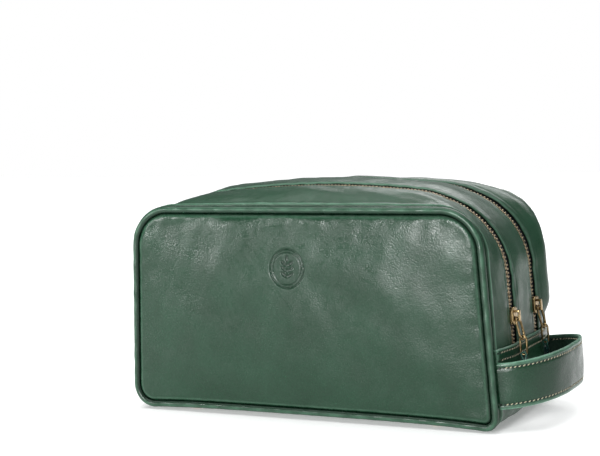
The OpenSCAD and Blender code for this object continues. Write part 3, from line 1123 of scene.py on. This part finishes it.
@dataclass
class Gusset:
    """The three leather strips over the top, between and beside the zips."""

    shape: BagShape
    fold_r: float = 0.9 * MM
    ridge: float = 1.5 * MM
    wall: float = 0.7 * MM
    pucker: float = 0.20 * MM
    slack: float = 0.30 * MM
    steps_along: int = 230

    def edge(self, kind: Edge) -> Array:
        """Profile of one side of a strip, as distance in from the side and height over the face.

        Args:
            kind: How that side is finished.

        Returns:
            The profile's points, from the side inwards.
        """
        if kind is Edge.FOLD:
            turn = np.linspace(math.pi, 0, 12)
            r = self.fold_r
            bend = np.column_stack([r - r * np.sin(turn), r * np.cos(turn) - r])
            tuck, groove = [[4 * MM, -2 * r]], [[2.2 * MM, 0.02 * MM], [3.0 * MM, -0.22 * MM], [4.2 * MM, 0]]
            return np.vstack([tuck, bend, groove])
        e = np.linspace(-0.8 * MM, 5 * MM, 24)
        drop = np.clip((0.9 * MM - e) / (1.7 * MM), 0, 1) ** 1.5
        return np.column_stack([e, self.ridge * bump(e, 1.9 * MM, 1.05 * MM) - 2.8 * MM * drop])

    def strip(
        self, name: str, start: float, end: float, edges: tuple[Edge, Edge], fullness: float, seed: int
    ) -> bpy.types.Object:
        """Make one strip between two depths.

        Args:
            name: The piece's name.
            start: Depth of its first side.
            end: Depth of its second side.
            edges: How the two sides are finished.
            fullness: How far its middle swells out.
            seed: Which puckers it has.

        Returns:
            The strip.
        """
        first, second = self.edge(edges[0]), self.edge(edges[1])[::-1]
        profile = np.vstack([
            np.column_stack([start + first[:, 0], first[:, 1]]),
            np.column_stack([end - second[:, 0], second[:, 1]]),
        ])
        count = round((end - start) / (0.42 * MM))
        profile = resample(profile, count + 1)
        surface: Surface = self.shape.over

        def form(u: Array, v: Array) -> tuple[Array, Array, Array]:
            """Carry the profile along the gusset."""
            y = np.interp(v, np.linspace(0, 1, count + 1), profile[:, 0])
            h = np.interp(v, np.linspace(0, 1, count + 1), profile[:, 1])
            normal = normals_of(surface, u, y)
            near = np.minimum(np.abs(y - start), np.abs(end - y))
            reach = u * 430 * MM
            crown = fullness * np.clip(1 - ((2 * y - start - end) / (end - start)) ** 2, 0, 1) ** 0.8
            pucker = self.pucker * np.exp(-near / (5 * MM)) * ripple(reach, y, 9 * MM, seed)
            slack = self.slack * ripple(reach, y * 2, 34 * MM, seed + 1) * np.minimum(1, near / (4 * MM))
            point = surface(u, y)
            point = point + (h + pucker + self.shape.clear(point[:, 2]) * (crown + slack))[:, None] * normal
            wear_and_painted_light = np.zeros_like(y)
            for kind, side in zip(edges, (start, end)):
                away = np.abs(y - side)
                if kind is Edge.FOLD:
                    # The fold's edge is paler where rubbed; the part tucked under the fold gets painted
                    # shade.
                    rubbed, soiled = bump(away, 0.3 * MM, 0.5 * MM) * (h > -1.0 * MM), h < -1.2 * MM
                    wear_and_painted_light += 0.6 * rubbed - 0.8 * soiled
                else:
                    # Paler seam ridge, worn and partly a painted highlight; painted shade in the seam beside
                    # the piping.
                    rubbed, soiled = bump(away, 1.9 * MM, 0.5 * MM) * (h > 0), bump(away, -0.4 * MM, 1.0 * MM)
                    wear_and_painted_light += 0.8 * rubbed - 0.8 * soiled
            return point, normal, np.clip(wear_and_painted_light, -1, 1)

        return sheet(name, (self.steps_along, count), form, self.wall)

    def build(self, wardrobe: Wardrobe) -> None:
        """Make and dress the three strips."""
        shape = self.shape
        inner, outer = shape.zip_y - shape.zip_gap, shape.zip_y + shape.zip_gap
        plan = (
            ("front", -shape.seam, -outer, (Edge.SEAM, Edge.FOLD), 0.4 * MM),
            ("centre", shape.zip_shift - inner, inner, (Edge.FOLD, Edge.FOLD), 1.0 * MM),
            ("back", outer + shape.zip_shift, shape.seam, (Edge.FOLD, Edge.SEAM), 2.8 * MM),
        )
        for seed, (word, start, end, edges, fullness) in enumerate(plan):
            piece = self.strip(f"{word}_gusset_leather", start, end, edges, fullness, 20 + 5 * seed)
            present(piece, wardrobe.gusset, "bag", [f"{word}_gusset"])


@dataclass
class Zip:
    """One zip over the top: two woven tapes and two rows of brass teeth that mesh."""

    shape: BagShape
    face: Face
    pitch: float = 2.54 * MM
    tooth: tuple[float, float, float] = (1.16 * MM, 3.1 * MM, 2.3 * MM)
    reach_over: float = 0.75 * MM
    slant: float = math.radians(9)
    tape_edge: float = 0.8 * MM
    tape_w: float = 11 * MM
    tape_t: float = 0.5 * MM

    def line(self, count: int, lift: float) -> tuple[Array, Array, Array]:
        """The zip's middle line.

        Args:
            count: How many points.
            lift: Height over the leather's face.

        Returns:
            Even points, their directions along the zip and their outward normals.
        """
        t = np.linspace(0.004, 0.996, 1601)
        y = np.full_like(t, self.face.value * self.shape.zip_y)
        normal = normals_of(self.shape.over, t, y)
        normal[:, 1] = 0
        normal /= np.linalg.norm(normal, axis=1, keepdims=True)
        path = self.shape.over(t, y) + lift * normal
        even = resample(np.hstack([path, normal]), count)
        along = np.gradient(even[:, :3], axis=0)
        return even[:, :3], along, even[:, 3:]

    def build_tapes(self, wardrobe: Wardrobe) -> None:
        """Make and dress both halves of the tape, level under the teeth and curved under the leather."""
        shape, halves = self.shape, []
        surface: Surface = shape.over
        for row in (-1, 1):

            def form(u: Array, v: Array, row: int = row) -> tuple[Array, Array, Array]:
                """Lay half of the tape under the leather."""
                away = self.tape_edge + v * self.tape_w
                middle = np.full_like(u, self.face.value * shape.zip_y)
                follow = np.clip((away - 3.0 * MM) / (3 * MM), 0, 1)
                at = middle + row * away * follow
                normal = normals_of(surface, u, at)
                wave = 0.12 * MM * ripple(u * 430 * MM, away, 16 * MM, 40 + row)
                place = surface(u, at) + (wave - shape.tape_d)[:, None] * normal
                place[:, 1] = middle + row * away
                return place, normal, np.zeros_like(u)

            halves.append(sheet("tape", (240, 14), form, self.tape_t))
        piece = join(f"{self.face.word}_tape", halves)
        present(piece, wardrobe.tape, "bag", [f"{self.face.word}_zip_tape"])

    def build_teeth(self, wardrobe: Wardrobe) -> None:
        """Make and dress the two rows of teeth."""
        shape = self.shape
        length = 430 * MM
        count = 2 * round(length / self.pitch)
        points, along, normals = self.line(count, -shape.tape_d + 0.25 * MM)
        pattern = block(self.tooth, (0, self.tooth[1] / 2 - self.reach_over, 0), 0.0)
        with editing(pattern) as mesh:
            pick_faces(mesh, lambda middle, normal: normal.y < -0.9)
            bpy.ops.transform.resize(value=(0.8, 1.0, 0.72))
        round_edges(pattern, 0.2 * MM, 1)
        places = []
        for k in range(count):
            row = 1 if k % 2 else -1
            place = axes(points[k], along[k], normals[k])
            facing = place.to_3x3() @ Vector((0, 1, 0))
            turn = 0.0 if facing.y * row > 0 else math.pi
            places.append(place @ Matrix.Rotation(turn + self.slant, 4, "Z"))
        piece = copies(f"{self.face.word}_teeth", pattern, places)
        present(piece, wardrobe.teeth, "bag", [f"{self.face.word}_zip_teeth"])

    def build(self, wardrobe: Wardrobe) -> None:
        """Make the whole zip."""
        self.build_tapes(wardrobe)
        self.build_teeth(wardrobe)


@dataclass
class Fastener:
    """The slider of one zip with its wire pull, its link and its leather tab."""

    shape: BagShape
    face: Face
    plate: tuple[float, float, float] = (1.3 * MM, 9.6 * MM, 11 * MM)
    plate_in: float = 0.35 * MM
    bridge: tuple[float, float, float] = (0.9 * MM, 3 * MM, 7.2 * MM)
    post: float = 1.4 * MM
    under: float = 4.0 * MM
    pull_r: float = 0.8 * MM
    pull_l: float = 14.5 * MM
    pull_w: float = 7.6 * MM
    pull_tilt: float = math.radians(10.5)
    link_r: float = 0.7 * MM
    link_bend: float = 2.1 * MM
    link_leg: float = 7.6 * MM
    tab_w: float = 6 * MM
    tab_drop: float = 8 * MM
    layer: float = 0.9 * MM
    gap: float = 0.3 * MM

    @property
    def pivot(self) -> float:
        """How far out from the leather the pull's pivot is."""
        return self.plate_in + self.plate[0] + self.gap + self.pull_r

    @property
    def hang(self) -> tuple[float, float]:
        """Place of the pull's lower bar, outwards and up from the run's origin."""
        return self.pivot + self.pull_l * math.sin(self.pull_tilt), -self.pull_l * math.cos(self.pull_tilt)

    def slider(self) -> bpy.types.Object:
        """Model the slider: a round-ended plate, its lips, the inner plate and the bridge."""
        thick, wide, tall = self.plate
        face_out = self.plate_in + thick
        rise = self.bridge[2] / 2 - self.post - self.pull_r - 0.5 * MM
        deselect_all()
        bpy.ops.mesh.primitive_cylinder_add(
            vertices=48, radius=tall / 2 + 0.5 * MM, depth=thick,
            location=(self.plate_in + thick / 2, 0, rise), rotation=(0, math.pi / 2, 0),
        )
        plate = bpy.context.object
        bpy.ops.object.transform_apply(location=True, rotation=True, scale=True)
        with editing(plate):
            for side in (-1, 1):
                for middle, normal in (
                    ((0, side * wide / 2, 0), (0, side, 0)),
                    ((0, 0, rise + side * tall / 2), (0, 0, side)),
                ):
                    bpy.ops.mesh.select_all(action="SELECT")
                    bpy.ops.mesh.bisect(plane_co=middle, plane_no=normal, clear_outer=True, use_fill=True)
        round_edges(plate, 0.4 * MM, 3)
        parts = [plate]
        for side in (-1, 1):
            lip = (1.8 * MM, 0.9 * MM, tall - 2.2 * MM)
            parts.append(block(lip, (-0.35 * MM, side * 3.7 * MM, rise), 0.25 * MM))
        parts.append(block((5.2 * MM, 0.6 * MM, 4 * MM), (-1.9 * MM, 0, rise - 2.5 * MM), 0.1 * MM))
        parts.append(block((1.3 * MM, 7.4 * MM, tall - 1.6 * MM), (-4.65 * MM, 0, rise), 0.35 * MM))
        parts.append(self.arch(face_out, rise))
        return join(f"{self.face.word}_slider_brass", parts)

    def arch(self, face_out: float, rise: float) -> bpy.types.Object:
        """Model the bridge: a bar whose two ends are drawn in to the plate.

        Args:
            face_out: The plate's outer face.
            rise: Height of the slider's middle over the pivot.

        Returns:
            The bridge.
        """
        thick, _, tall = self.bridge
        bar = block(self.bridge, (self.under + thick / 2, 0, rise))
        with editing(bar) as mesh:
            for side in (-1, 1):
                bpy.ops.mesh.select_all(action="SELECT")
                level = rise + side * (tall / 2 - self.post)
                bpy.ops.mesh.bisect(plane_co=(0, 0, level), plane_no=(0, 0, 1))
            mesh.faces.ensure_lookup_table()
            pick_faces(mesh, lambda m, n: n.x < -0.9 and abs(m.z - rise) > tall / 2 - self.post)
            reach = self.under - face_out + 0.15 * MM
            bpy.ops.mesh.extrude_region_move(TRANSFORM_OT_translate={"value": (-reach, 0, 0)})
        round_edges(bar, 0.3 * MM, 3)
        return bar

    def stadium(self, bend: float, leg: float, count: int = 88) -> Array:
        """A long closed loop with round ends, its upper bend's middle at the origin.

        Args:
            bend: Radius of its ends.
            leg: Length of its straight sides.
            count: How many points.

        Returns:
            Points across and up, evenly spaced.
        """
        turn = np.linspace(0, math.pi, 25)
        top = np.column_stack([bend * np.cos(turn), bend * np.sin(turn)])
        return resample(np.vstack([top, -top - [0, leg]]), count, closed=True)

    def pull(self) -> bpy.types.Object:
        """Model the wire pull in its own plane, hung from the pivot."""
        bend = self.pull_w / 2
        across, up = self.stadium(bend, self.pull_l - self.pull_w).T
        loop = np.column_stack([np.zeros_like(across), across, up - bend])
        piece = tube_loop(f"{self.face.word}_pull_wire", loop, Vector((1, 0, 0)), self.pull_r * 0.98, 16)
        hung = Matrix.Translation((self.pivot, 0, 0)) @ Matrix.Rotation(-self.pull_tilt, 4, "Y")
        return settle(piece, hung)

    def link(self) -> bpy.types.Object:
        """Model the oval link, edge-on to the run."""
        across, up = self.stadium(self.link_bend, self.link_leg).T
        loop = np.column_stack([self.hang[0] + across, np.zeros_like(across), self.hang[1] + up])
        return tube_loop(f"{self.face.word}_link_wire", loop, Vector((0, 1, 0)), self.link_r * 0.98, 16)

    def tab(self) -> bpy.types.Object:
        """Model the tab: a neck folded over the link and two wider layers below it."""
        bend_z = self.hang[1] - self.link_leg - self.link_bend
        throat = self.link_r + 0.45 * MM + self.layer
        neck_w, body_top = 2.2 * MM, -2.6 * MM
        turn = np.linspace(math.radians(-20), math.radians(200), 20)
        bend = np.column_stack([throat * np.cos(turn), 0.15 * MM + throat * np.sin(turn)])
        foot = body_top - 1.2 * MM
        strap = np.vstack([[[self.layer - 0.05 * MM, foot]], bend, [[0.05 * MM - self.layer, foot]]])
        strap = resample(strap, 41)
        outward = np.column_stack([strap[:, 0], strap[:, 1] - foot])

        def form(u: Array, v: Array) -> tuple[Array, Array, Array]:
            """Carry the neck's profile across its width."""
            grid = np.linspace(0, 1, 41)
            x, z = (np.interp(u, grid, strap[:, k]) for k in range(2))
            out_x, out_z = (np.interp(u, grid, outward[:, k]) for k in range(2))
            out = np.column_stack([out_x, np.zeros_like(u), out_z])
            place = np.column_stack([self.hang[0] + x, (v - 0.5) * neck_w, bend_z + z])
            return place, out, 0.9 * np.abs(2 * v - 1) ** 4

        parts = [sheet("neck", (40, 6), form, self.layer)]
        tall = self.tab_drop + body_top
        for side in (-1, 1):
            middle = (self.hang[0] + side * self.layer / 2, 0, bend_z + body_top - tall / 2)
            parts.append(block((self.layer * 0.97, self.tab_w, tall), middle, 0.3 * MM))
        return join(f"{self.face.word}_tab_leather", parts)

    def build(self, wardrobe: Wardrobe) -> None:
        """Make and dress the four moving pieces."""
        place, word = self.shape.on_run(self.face), self.face.word
        plan = (
            (self.slider(), wardrobe.brass, "antique_brass", f"{word}_slider", f"{word}_slider"),
            (self.pull(), wardrobe.brass, "antique_brass", f"{word}_pull", f"{word}_pull"),
            (self.link(), wardrobe.brass, "antique_brass", f"{word}_link", f"{word}_pull_link"),
            (self.tab(), wardrobe.tab, "tab_leather", f"{word}_tab", f"{word}_pull_tab"),
        )
        for piece, material, slot, body, node in plan:
            present(settle(piece, place), material, body, [node])


@dataclass
class Stitching:
    """Rows of slanted thread stitches over a surface, one between each two holes."""

    fill: float = 0.64
    thread_r: float = 0.32 * MM
    slant: float = math.radians(27)

    def rows(self, name: str, lines: Sequence[tuple[Array, Array]]) -> bpy.types.Object:
        """Sew along lines.

        Args:
            name: The piece's name.
            lines: For each row, its holes and the outward normals there.

        Returns:
            All the stitches as one piece.
        """
        deselect_all()
        bpy.ops.mesh.primitive_uv_sphere_add(
            segments=6, ring_count=5, radius=1.0, rotation=(0, math.pi / 2, 0)
        )
        pattern = bpy.context.object
        pattern.scale = (self.thread_r, self.thread_r, 0.5)
        bpy.ops.object.transform_apply(location=True, rotation=True, scale=True)
        places = []
        for points, normals in lines:
            for here, ahead, out in zip(points[:-1], points[1:], normals):
                place = axes((here + ahead) / 2, ahead - here, out)
                stretch = Matrix.Diagonal((self.fill * float(np.linalg.norm(ahead - here)), 1, 1, 1))
                places.append(place @ Matrix.Rotation(self.slant, 4, "Z") @ stretch)
        return copies(name, pattern, places)


@dataclass
class EndPanel:
    """A leather panel over one end: turned and double-stitched at its top, wrapped under the base."""

    shape: BagShape
    side: End
    wall: float = 1.5 * MM
    rows: tuple[float, float] = (2.4 * MM, 7.2 * MM)
    pitch: float = 2.8 * MM

    @property
    def half(self) -> float:
        """Half of the panel's width, with what is tucked beside the piping."""
        return self.shape.seam + 0.7 * MM

    def lift(self, q: Array, y: Array) -> Array:
        """Height of the panel's outer face over the bag's end.

        Args:
            q: 0 to 1 down the panel.
            y: Depth.

        Returns:
            The height.
        """
        down = q * self.shape.end_length(self.side)
        away = self.shape.seam - np.abs(y)
        top = -1.1 * MM * np.clip(1 - down / (1.1 * MM), 0, 1) ** 2
        dimple = -0.2 * MM * sum(bump(down, row, 0.9 * MM) for row in self.rows)
        ridge = 0.55 * MM * bump(away, 1.8 * MM, 1.2 * MM)
        drop = -3.6 * MM * np.clip((0.6 * MM - away) / (1.4 * MM), 0, 1) ** 2
        slack = 0.35 * MM * ripple(down, y, 30 * MM, 61 + self.side.value) * np.clip(away / (6 * MM), 0, 1)
        return self.shape.leather_t + top + dimple + ridge + drop + slack

    def surface(self, q: Array, y: Array) -> tuple[Array, Array]:
        """The panel's outer face.

        Args:
            q: 0 to 1 down the panel.
            y: Depth.

        Returns:
            Points and outward normals.
        """
        base: Surface = lambda a, b: self.shape.end(self.side, a, b)
        normal = normals_of(base, np.clip(q, 2e-4, 1), y) * self.side.value
        return base(q, y) + self.lift(q, y)[:, None] * normal, normal

    def form(self, u: Array, v: Array) -> tuple[Array, Array, Array]:
        """Shape the panel, u across the bag and v down it."""
        y = (2 * u - 1) * self.half
        place, normal = self.surface(v, y)
        down = v * self.shape.end_length(self.side)
        away = self.shape.seam - np.abs(y)
        wear_and_painted_light = 0.85 * bump(down, 0.3 * MM, 0.7 * MM) + 0.6 * bump(away, 1.8 * MM, 0.8 * MM)
        return place, normal, np.clip(wear_and_painted_light, 0, 1)

    def build(self, wardrobe: Wardrobe) -> None:
        """Make and dress the panel and its stitching."""
        word, tall = self.side.word, self.shape.end_length(self.side)
        holes = StitchHoles(2 * self.half, tall, self.pitch, self.rows)
        piece = sheet(f"{word}_end_leather", (150, 110), self.form, self.wall)
        present(piece, wardrobe.stitched.material(holes), "bag", [f"{word}_end_panel"])
        y = (2 * holes.places() - 1) * self.half
        lines = []
        for row in self.rows:
            points, normals = self.surface(np.full_like(y, row / tall), y)
            lines.append((points + 0.1 * MM * normals, normals))
        stitches = Stitching().rows(f"{word}_end_stitches", lines)
        present(stitches, wardrobe.thread, "bag")


@dataclass
class WristStrap:
    """The wrist strap: two layers of leather sewn together along both edges."""

    shape: BagShape
    width: float = 29 * MM
    low: float = 14.5 * MM
    reach: float = 37 * MM
    lift: float = 5.5 * MM
    layer: float = 1.3 * MM
    root_in: float = 3 * MM
    inset: float = 3 * MM
    power: float = 0.8

    def path(self, count: int) -> tuple[Array, Array]:
        """The strap's line on its outer face, low edge, with its outward directions.

        Args:
            count: How many points.

        Returns:
            Even points and outward normals.
        """
        shape = self.shape
        t = np.linspace(0, math.pi, 2001)
        half = shape.seam + 0.1 * MM
        root = shape.middle + shape.length / 2 + shape.flare - self.root_in
        x = root + (self.reach + self.root_in - shape.flare) * np.sin(t) ** self.power
        y = -half * np.sign(np.cos(t)) * np.abs(np.cos(t)) ** self.power
        even = resample(np.column_stack([x, y, self.low + self.lift * np.sin(t)]), count)
        run = np.gradient(even, axis=0)
        out = np.column_stack([run[:, 1], -run[:, 0], np.zeros(count)])
        return even, out / np.linalg.norm(out, axis=1, keepdims=True)

    def length(self) -> float:
        """Length of the strap between its roots."""
        points, _ = self.path(400)
        return float(np.linalg.norm(np.diff(points, axis=0), axis=1).sum())

    def face(self, u: Array, v: Array, depth: float, sign: int) -> tuple[Array, Array]:
        """One face of a layer.

        Args:
            u: 0 to 1 along the strap.
            v: 0 to 1 up the strap.
            depth: How far in from the outer face.
            sign: 1 for a face that looks out, -1 for one that looks in.

        Returns:
            Points and outward normals.
        """
        points, outs = self.path(241)
        grid = np.linspace(0, 1, 241)
        place, out = (
            np.column_stack([np.interp(u, grid, rows[:, k]) for k in range(3)]) for rows in (points, outs)
        )
        across = v * self.width
        near = np.minimum(across, self.width - across)
        sunk = 0.32 * MM * bump(near, self.inset, 1.0 * MM)
        sunk = sunk + 0.5 * MM * np.clip(1 - near / (1.0 * MM), 0, 1) ** 2
        crown = 0.35 * MM * (1 - (2 * v - 1) ** 2) + 0.12 * MM * ripple(u * 0.17, across, 25 * MM, 77)
        place[:, 2] += across
        return place + (crown - depth - sign * sunk)[:, None] * out, sign * out

    def rub(self, v: Array) -> Array:
        """Wear across the strap, along its two cut edges."""
        near = np.minimum(v, 1 - v) * self.width
        return np.clip(0.95 * bump(near, 0.0, 0.75 * MM) + 0.25 * bump(near, 1.7 * MM, 0.6 * MM), 0, 1)

    def build(self, wardrobe: Wardrobe) -> None:
        """Make and dress both layers and their stitching."""
        holes = StitchHoles(self.length(), self.width, 2.8 * MM, (self.inset, self.width - self.inset))
        plan = (
            ("strap_outer", 0.0, 1, wardrobe.edging, "strap_leather"),
            ("strap_inner", 2 * self.layer, -1, wardrobe.lining_leather, "strap_lining_leather"),
        )
        grid = holes.places()
        for node, depth, sign, finish, slot in plan:

            def form(
                u: Array, v: Array, depth: float = depth, sign: int = sign
            ) -> tuple[Array, Array, Array]:
                """Lay one layer along the strap's line."""
                place, out = self.face(u, v, depth, sign)
                return place, out, self.rub(v)

            piece = sheet(f"{node}_leather", (200, 36), form, self.layer)
            present(piece, finish.material(holes), "bag", [node])
            lines = []
            for height in (self.inset, self.width - self.inset):
                points, normals = self.face(grid, np.full_like(grid, height / self.width), depth, sign)
                lines.append((points + 0.08 * MM * normals, normals))
            stitches = Stitching().rows(f"{node}_stitches", lines)
            present(stitches, wardrobe.thread, "bag")


@dataclass
class Base:
    """The leather under the bag, with its brass feet, and what lies inside."""

    shape: BagShape

    def form(self, u: Array, v: Array) -> tuple[Array, Array, Array]:
        """Shape the base's underside, u along the bag and v across it."""
        shape = self.shape
        x0 = shape.plain_corner_r - shape.length / 2 - shape.flare + shape.tuck
        x1 = shape.length / 2 + shape.flare - shape.tuck - shape.strap_corner_r
        x, y = x0 + u * (x1 - x0), (2 * v - 1) * (shape.seam + 0.8 * MM)
        away = shape.seam - np.abs(y)
        z = shape.foot_h + 2.2 * MM * np.clip((1.0 * MM - away) / (1.8 * MM), 0, 1) ** 2
        z = z - 0.5 * MM * bump(away, 2.2 * MM, 1.3 * MM) + 0.15 * MM * ripple(x, y, 40 * MM, 90)
        place = np.column_stack([shape.middle + x, y, z])
        return place, np.tile([0.0, 0.0, -1.0], (len(x), 1)), 0.4 * bump(away, 2.2 * MM, 1.0 * MM)

    def build(self, wardrobe: Wardrobe) -> None:
        """Make the base leather, and dress the frame's own fittings and hidden parts."""
        piece = sheet("base_leather", (160, 60), self.form, self.shape.leather_t)
        present(piece, wardrobe.gusset, "bag", ["base_panel"])
        kept = {
            "feet": wardrobe.brass, "foot_washers": wardrobe.brass, "base_board": wardrobe.board,
            "divider": wardrobe.lining, "front_lining": wardrobe.lining, "back_lining": wardrobe.lining,
        }
        for node, material in kept.items():
            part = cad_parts[node]
            part.data.materials.clear()
            part.data.materials.append(material)
            LOG.info("%s: kept from the frame as %s", node, material.name)


# ---------------------------------------------------------------- studio


@dataclass
class Studio:
    """Camera, floor and soft white light: two low lamps for the panel's glints, one each for end and top."""

    middle: float
    yaw: float = math.radians(27.32)
    pitch: float = math.radians(6.38)
    roll: float = math.radians(-2.69)
    distance: float = 1046.77 * MM
    aim: tuple[float, float, float] = (-25.13 * MM, 0.0, 120.42 * MM)
    lens: float = 91.635
    floor_size: float = 3.6
    floor_glow: float = 0.25

    def aimed(self, place: Vector, at: Vector) -> Matrix:
        """A place turned to look at a point."""
        return Matrix.Translation(place) @ (at - place).to_track_quat("-Z", "Y").to_matrix().to_4x4()

    def camera(self) -> None:
        """Place the camera, a little rolled."""
        data = bpy.data.cameras.new("studio_camera")
        data.lens, data.sensor_width = self.lens, 36.0
        data.clip_start, data.clip_end = 0.05, 50.0
        obj = bpy.data.objects.new("studio_camera", data)
        bpy.context.scene.collection.objects.link(obj)
        level = math.cos(self.pitch)
        back = Vector((math.sin(self.yaw) * level, -math.cos(self.yaw) * level, math.sin(self.pitch)))
        stand = Vector(self.aim) + Vector((self.middle, 0, 0)) + self.distance * back
        turned = back.to_track_quat("Z", "Y").to_matrix().to_4x4()
        obj.matrix_world = Matrix.Translation(stand) @ turned @ Matrix.Rotation(self.roll, 4, "Z")
        bpy.context.scene.camera = obj

    def lamp(self, name: str, place: Sequence[float], size: tuple[float, float], power: float) -> None:
        """Add a soft rectangular lamp that looks at the bag.

        Args:
            name: The lamp's name.
            place: Where it stands.
            size: Its two sides.
            power: Its power in watts.
        """
        data = bpy.data.lights.new(name, "AREA")
        data.shape, data.size, data.size_y, data.energy = "RECTANGLE", *size, power
        obj = bpy.data.objects.new(name, data)
        bpy.context.scene.collection.objects.link(obj)
        obj.matrix_world = self.aimed(Vector(place), Vector((0, 0, 0.08)))

    def lights(self) -> None:
        """Hang the lamps and light the surroundings, white behind the bag and dimmer around it."""
        self.lamp("left", (-1.15, -1.19, 0.35), (0.26, 0.22), 9.0)
        self.lamp("front", (-0.18, -1.62, 0.34), (0.24, 0.22), 18.5)
        self.lamp("side", (1.9, -0.6, 0.9), (0.6, 1.0), 4.5)
        self.lamp("top", (0.1, 1.2, 1.2), (1.6, 0.6), 15.0)
        sky = bpy.data.lights.new("skylight", "SUN")
        sky.energy, sky.angle = 2.0, math.radians(60)
        obj = bpy.data.objects.new("skylight", sky)
        bpy.context.scene.collection.objects.link(obj)
        obj.matrix_world = self.aimed(Vector((-0.4, -0.3, 3)), Vector((0, 0, 0)))
        world = bpy.data.worlds.new("white_room")
        bpy.context.scene.world = world
        world.use_nodes = True
        tree = world.node_tree
        around = tree.nodes["Background"]
        around.inputs["Color"].default_value = (0.93, 0.97, 1.0, 1.0)
        around.inputs["Strength"].default_value = 0.2
        behind = tree.nodes.new("ShaderNodeBackground")
        behind.inputs["Color"].default_value = (1.0, 1.0, 1.0, 1.0)
        seen = tree.nodes.new("ShaderNodeLightPath")
        blend = tree.nodes.new("ShaderNodeMixShader")
        tree.links.new(seen.outputs["Is Camera Ray"], blend.inputs[0])
        tree.links.new(around.outputs[0], blend.inputs[1])
        tree.links.new(behind.outputs[0], blend.inputs[2])
        tree.links.new(blend.outputs[0], tree.nodes["World Output"].inputs["Surface"])

    def floor(self) -> None:
        """Lay the pale floor."""
        deselect_all()
        bpy.ops.mesh.primitive_plane_add(size=self.floor_size)
        obj = bpy.context.object
        obj.name = "studio_floor"
        w = Wiring("pale_floor")
        tone = w.mix(w.spread(w.noise(3.0, 3.0), 0.3, 0.7, 0.0, 1.0), (0.90, 0.90, 0.90), (0.93, 0.93, 0.93))
        rough = w.spread(w.noise(40.0), 0.3, 0.7, 0.7, 0.8)
        tooth = w.relief(w.noise(300.0), 0.1, 0.1 * MM)
        obj.data.materials.append(w.finish(tone, rough, tooth, Emission_Strength=self.floor_glow))
        w.shader.inputs["Emission Color"].default_value = (1.0, 1.0, 1.0, 1.0)

    def build(self) -> None:
        """Set up the whole studio."""
        self.camera()
        self.lights()
        self.floor()
        bpy.context.scene.view_settings.view_transform = "Standard"


def corners(box: tuple[Vector, Vector]) -> list[list[float]]:
    """A box's two corners as plain lists."""
    return [[round(float(c), 6) for c in corner] for corner in box]


def main() -> None:
    """Build the bag around its frame, in order."""
    logging.basicConfig(level=logging.INFO, format="%(name)s: %(message)s")
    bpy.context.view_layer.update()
    low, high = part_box("front_gusset")
    shape = BagShape(middle=(low.x + high.x) / 2)
    wardrobe = Wardrobe()
    Studio(middle=shape.middle).build()
    for face in Face:
        FacePanel(shape, face, Emblem() if face is Face.FRONT else None).build(wardrobe)
        Piping(shape, face).build(wardrobe)
        Zip(shape, face).build(wardrobe)
        Fastener(shape, face).build(wardrobe)
    Gusset(shape).build(wardrobe)
    for side in End:
        EndPanel(shape, side).build(wardrobe)
    WristStrap(shape).build(wardrobe)
    Base(shape).build(wardrobe)


if __name__ == "__main__":
    main()
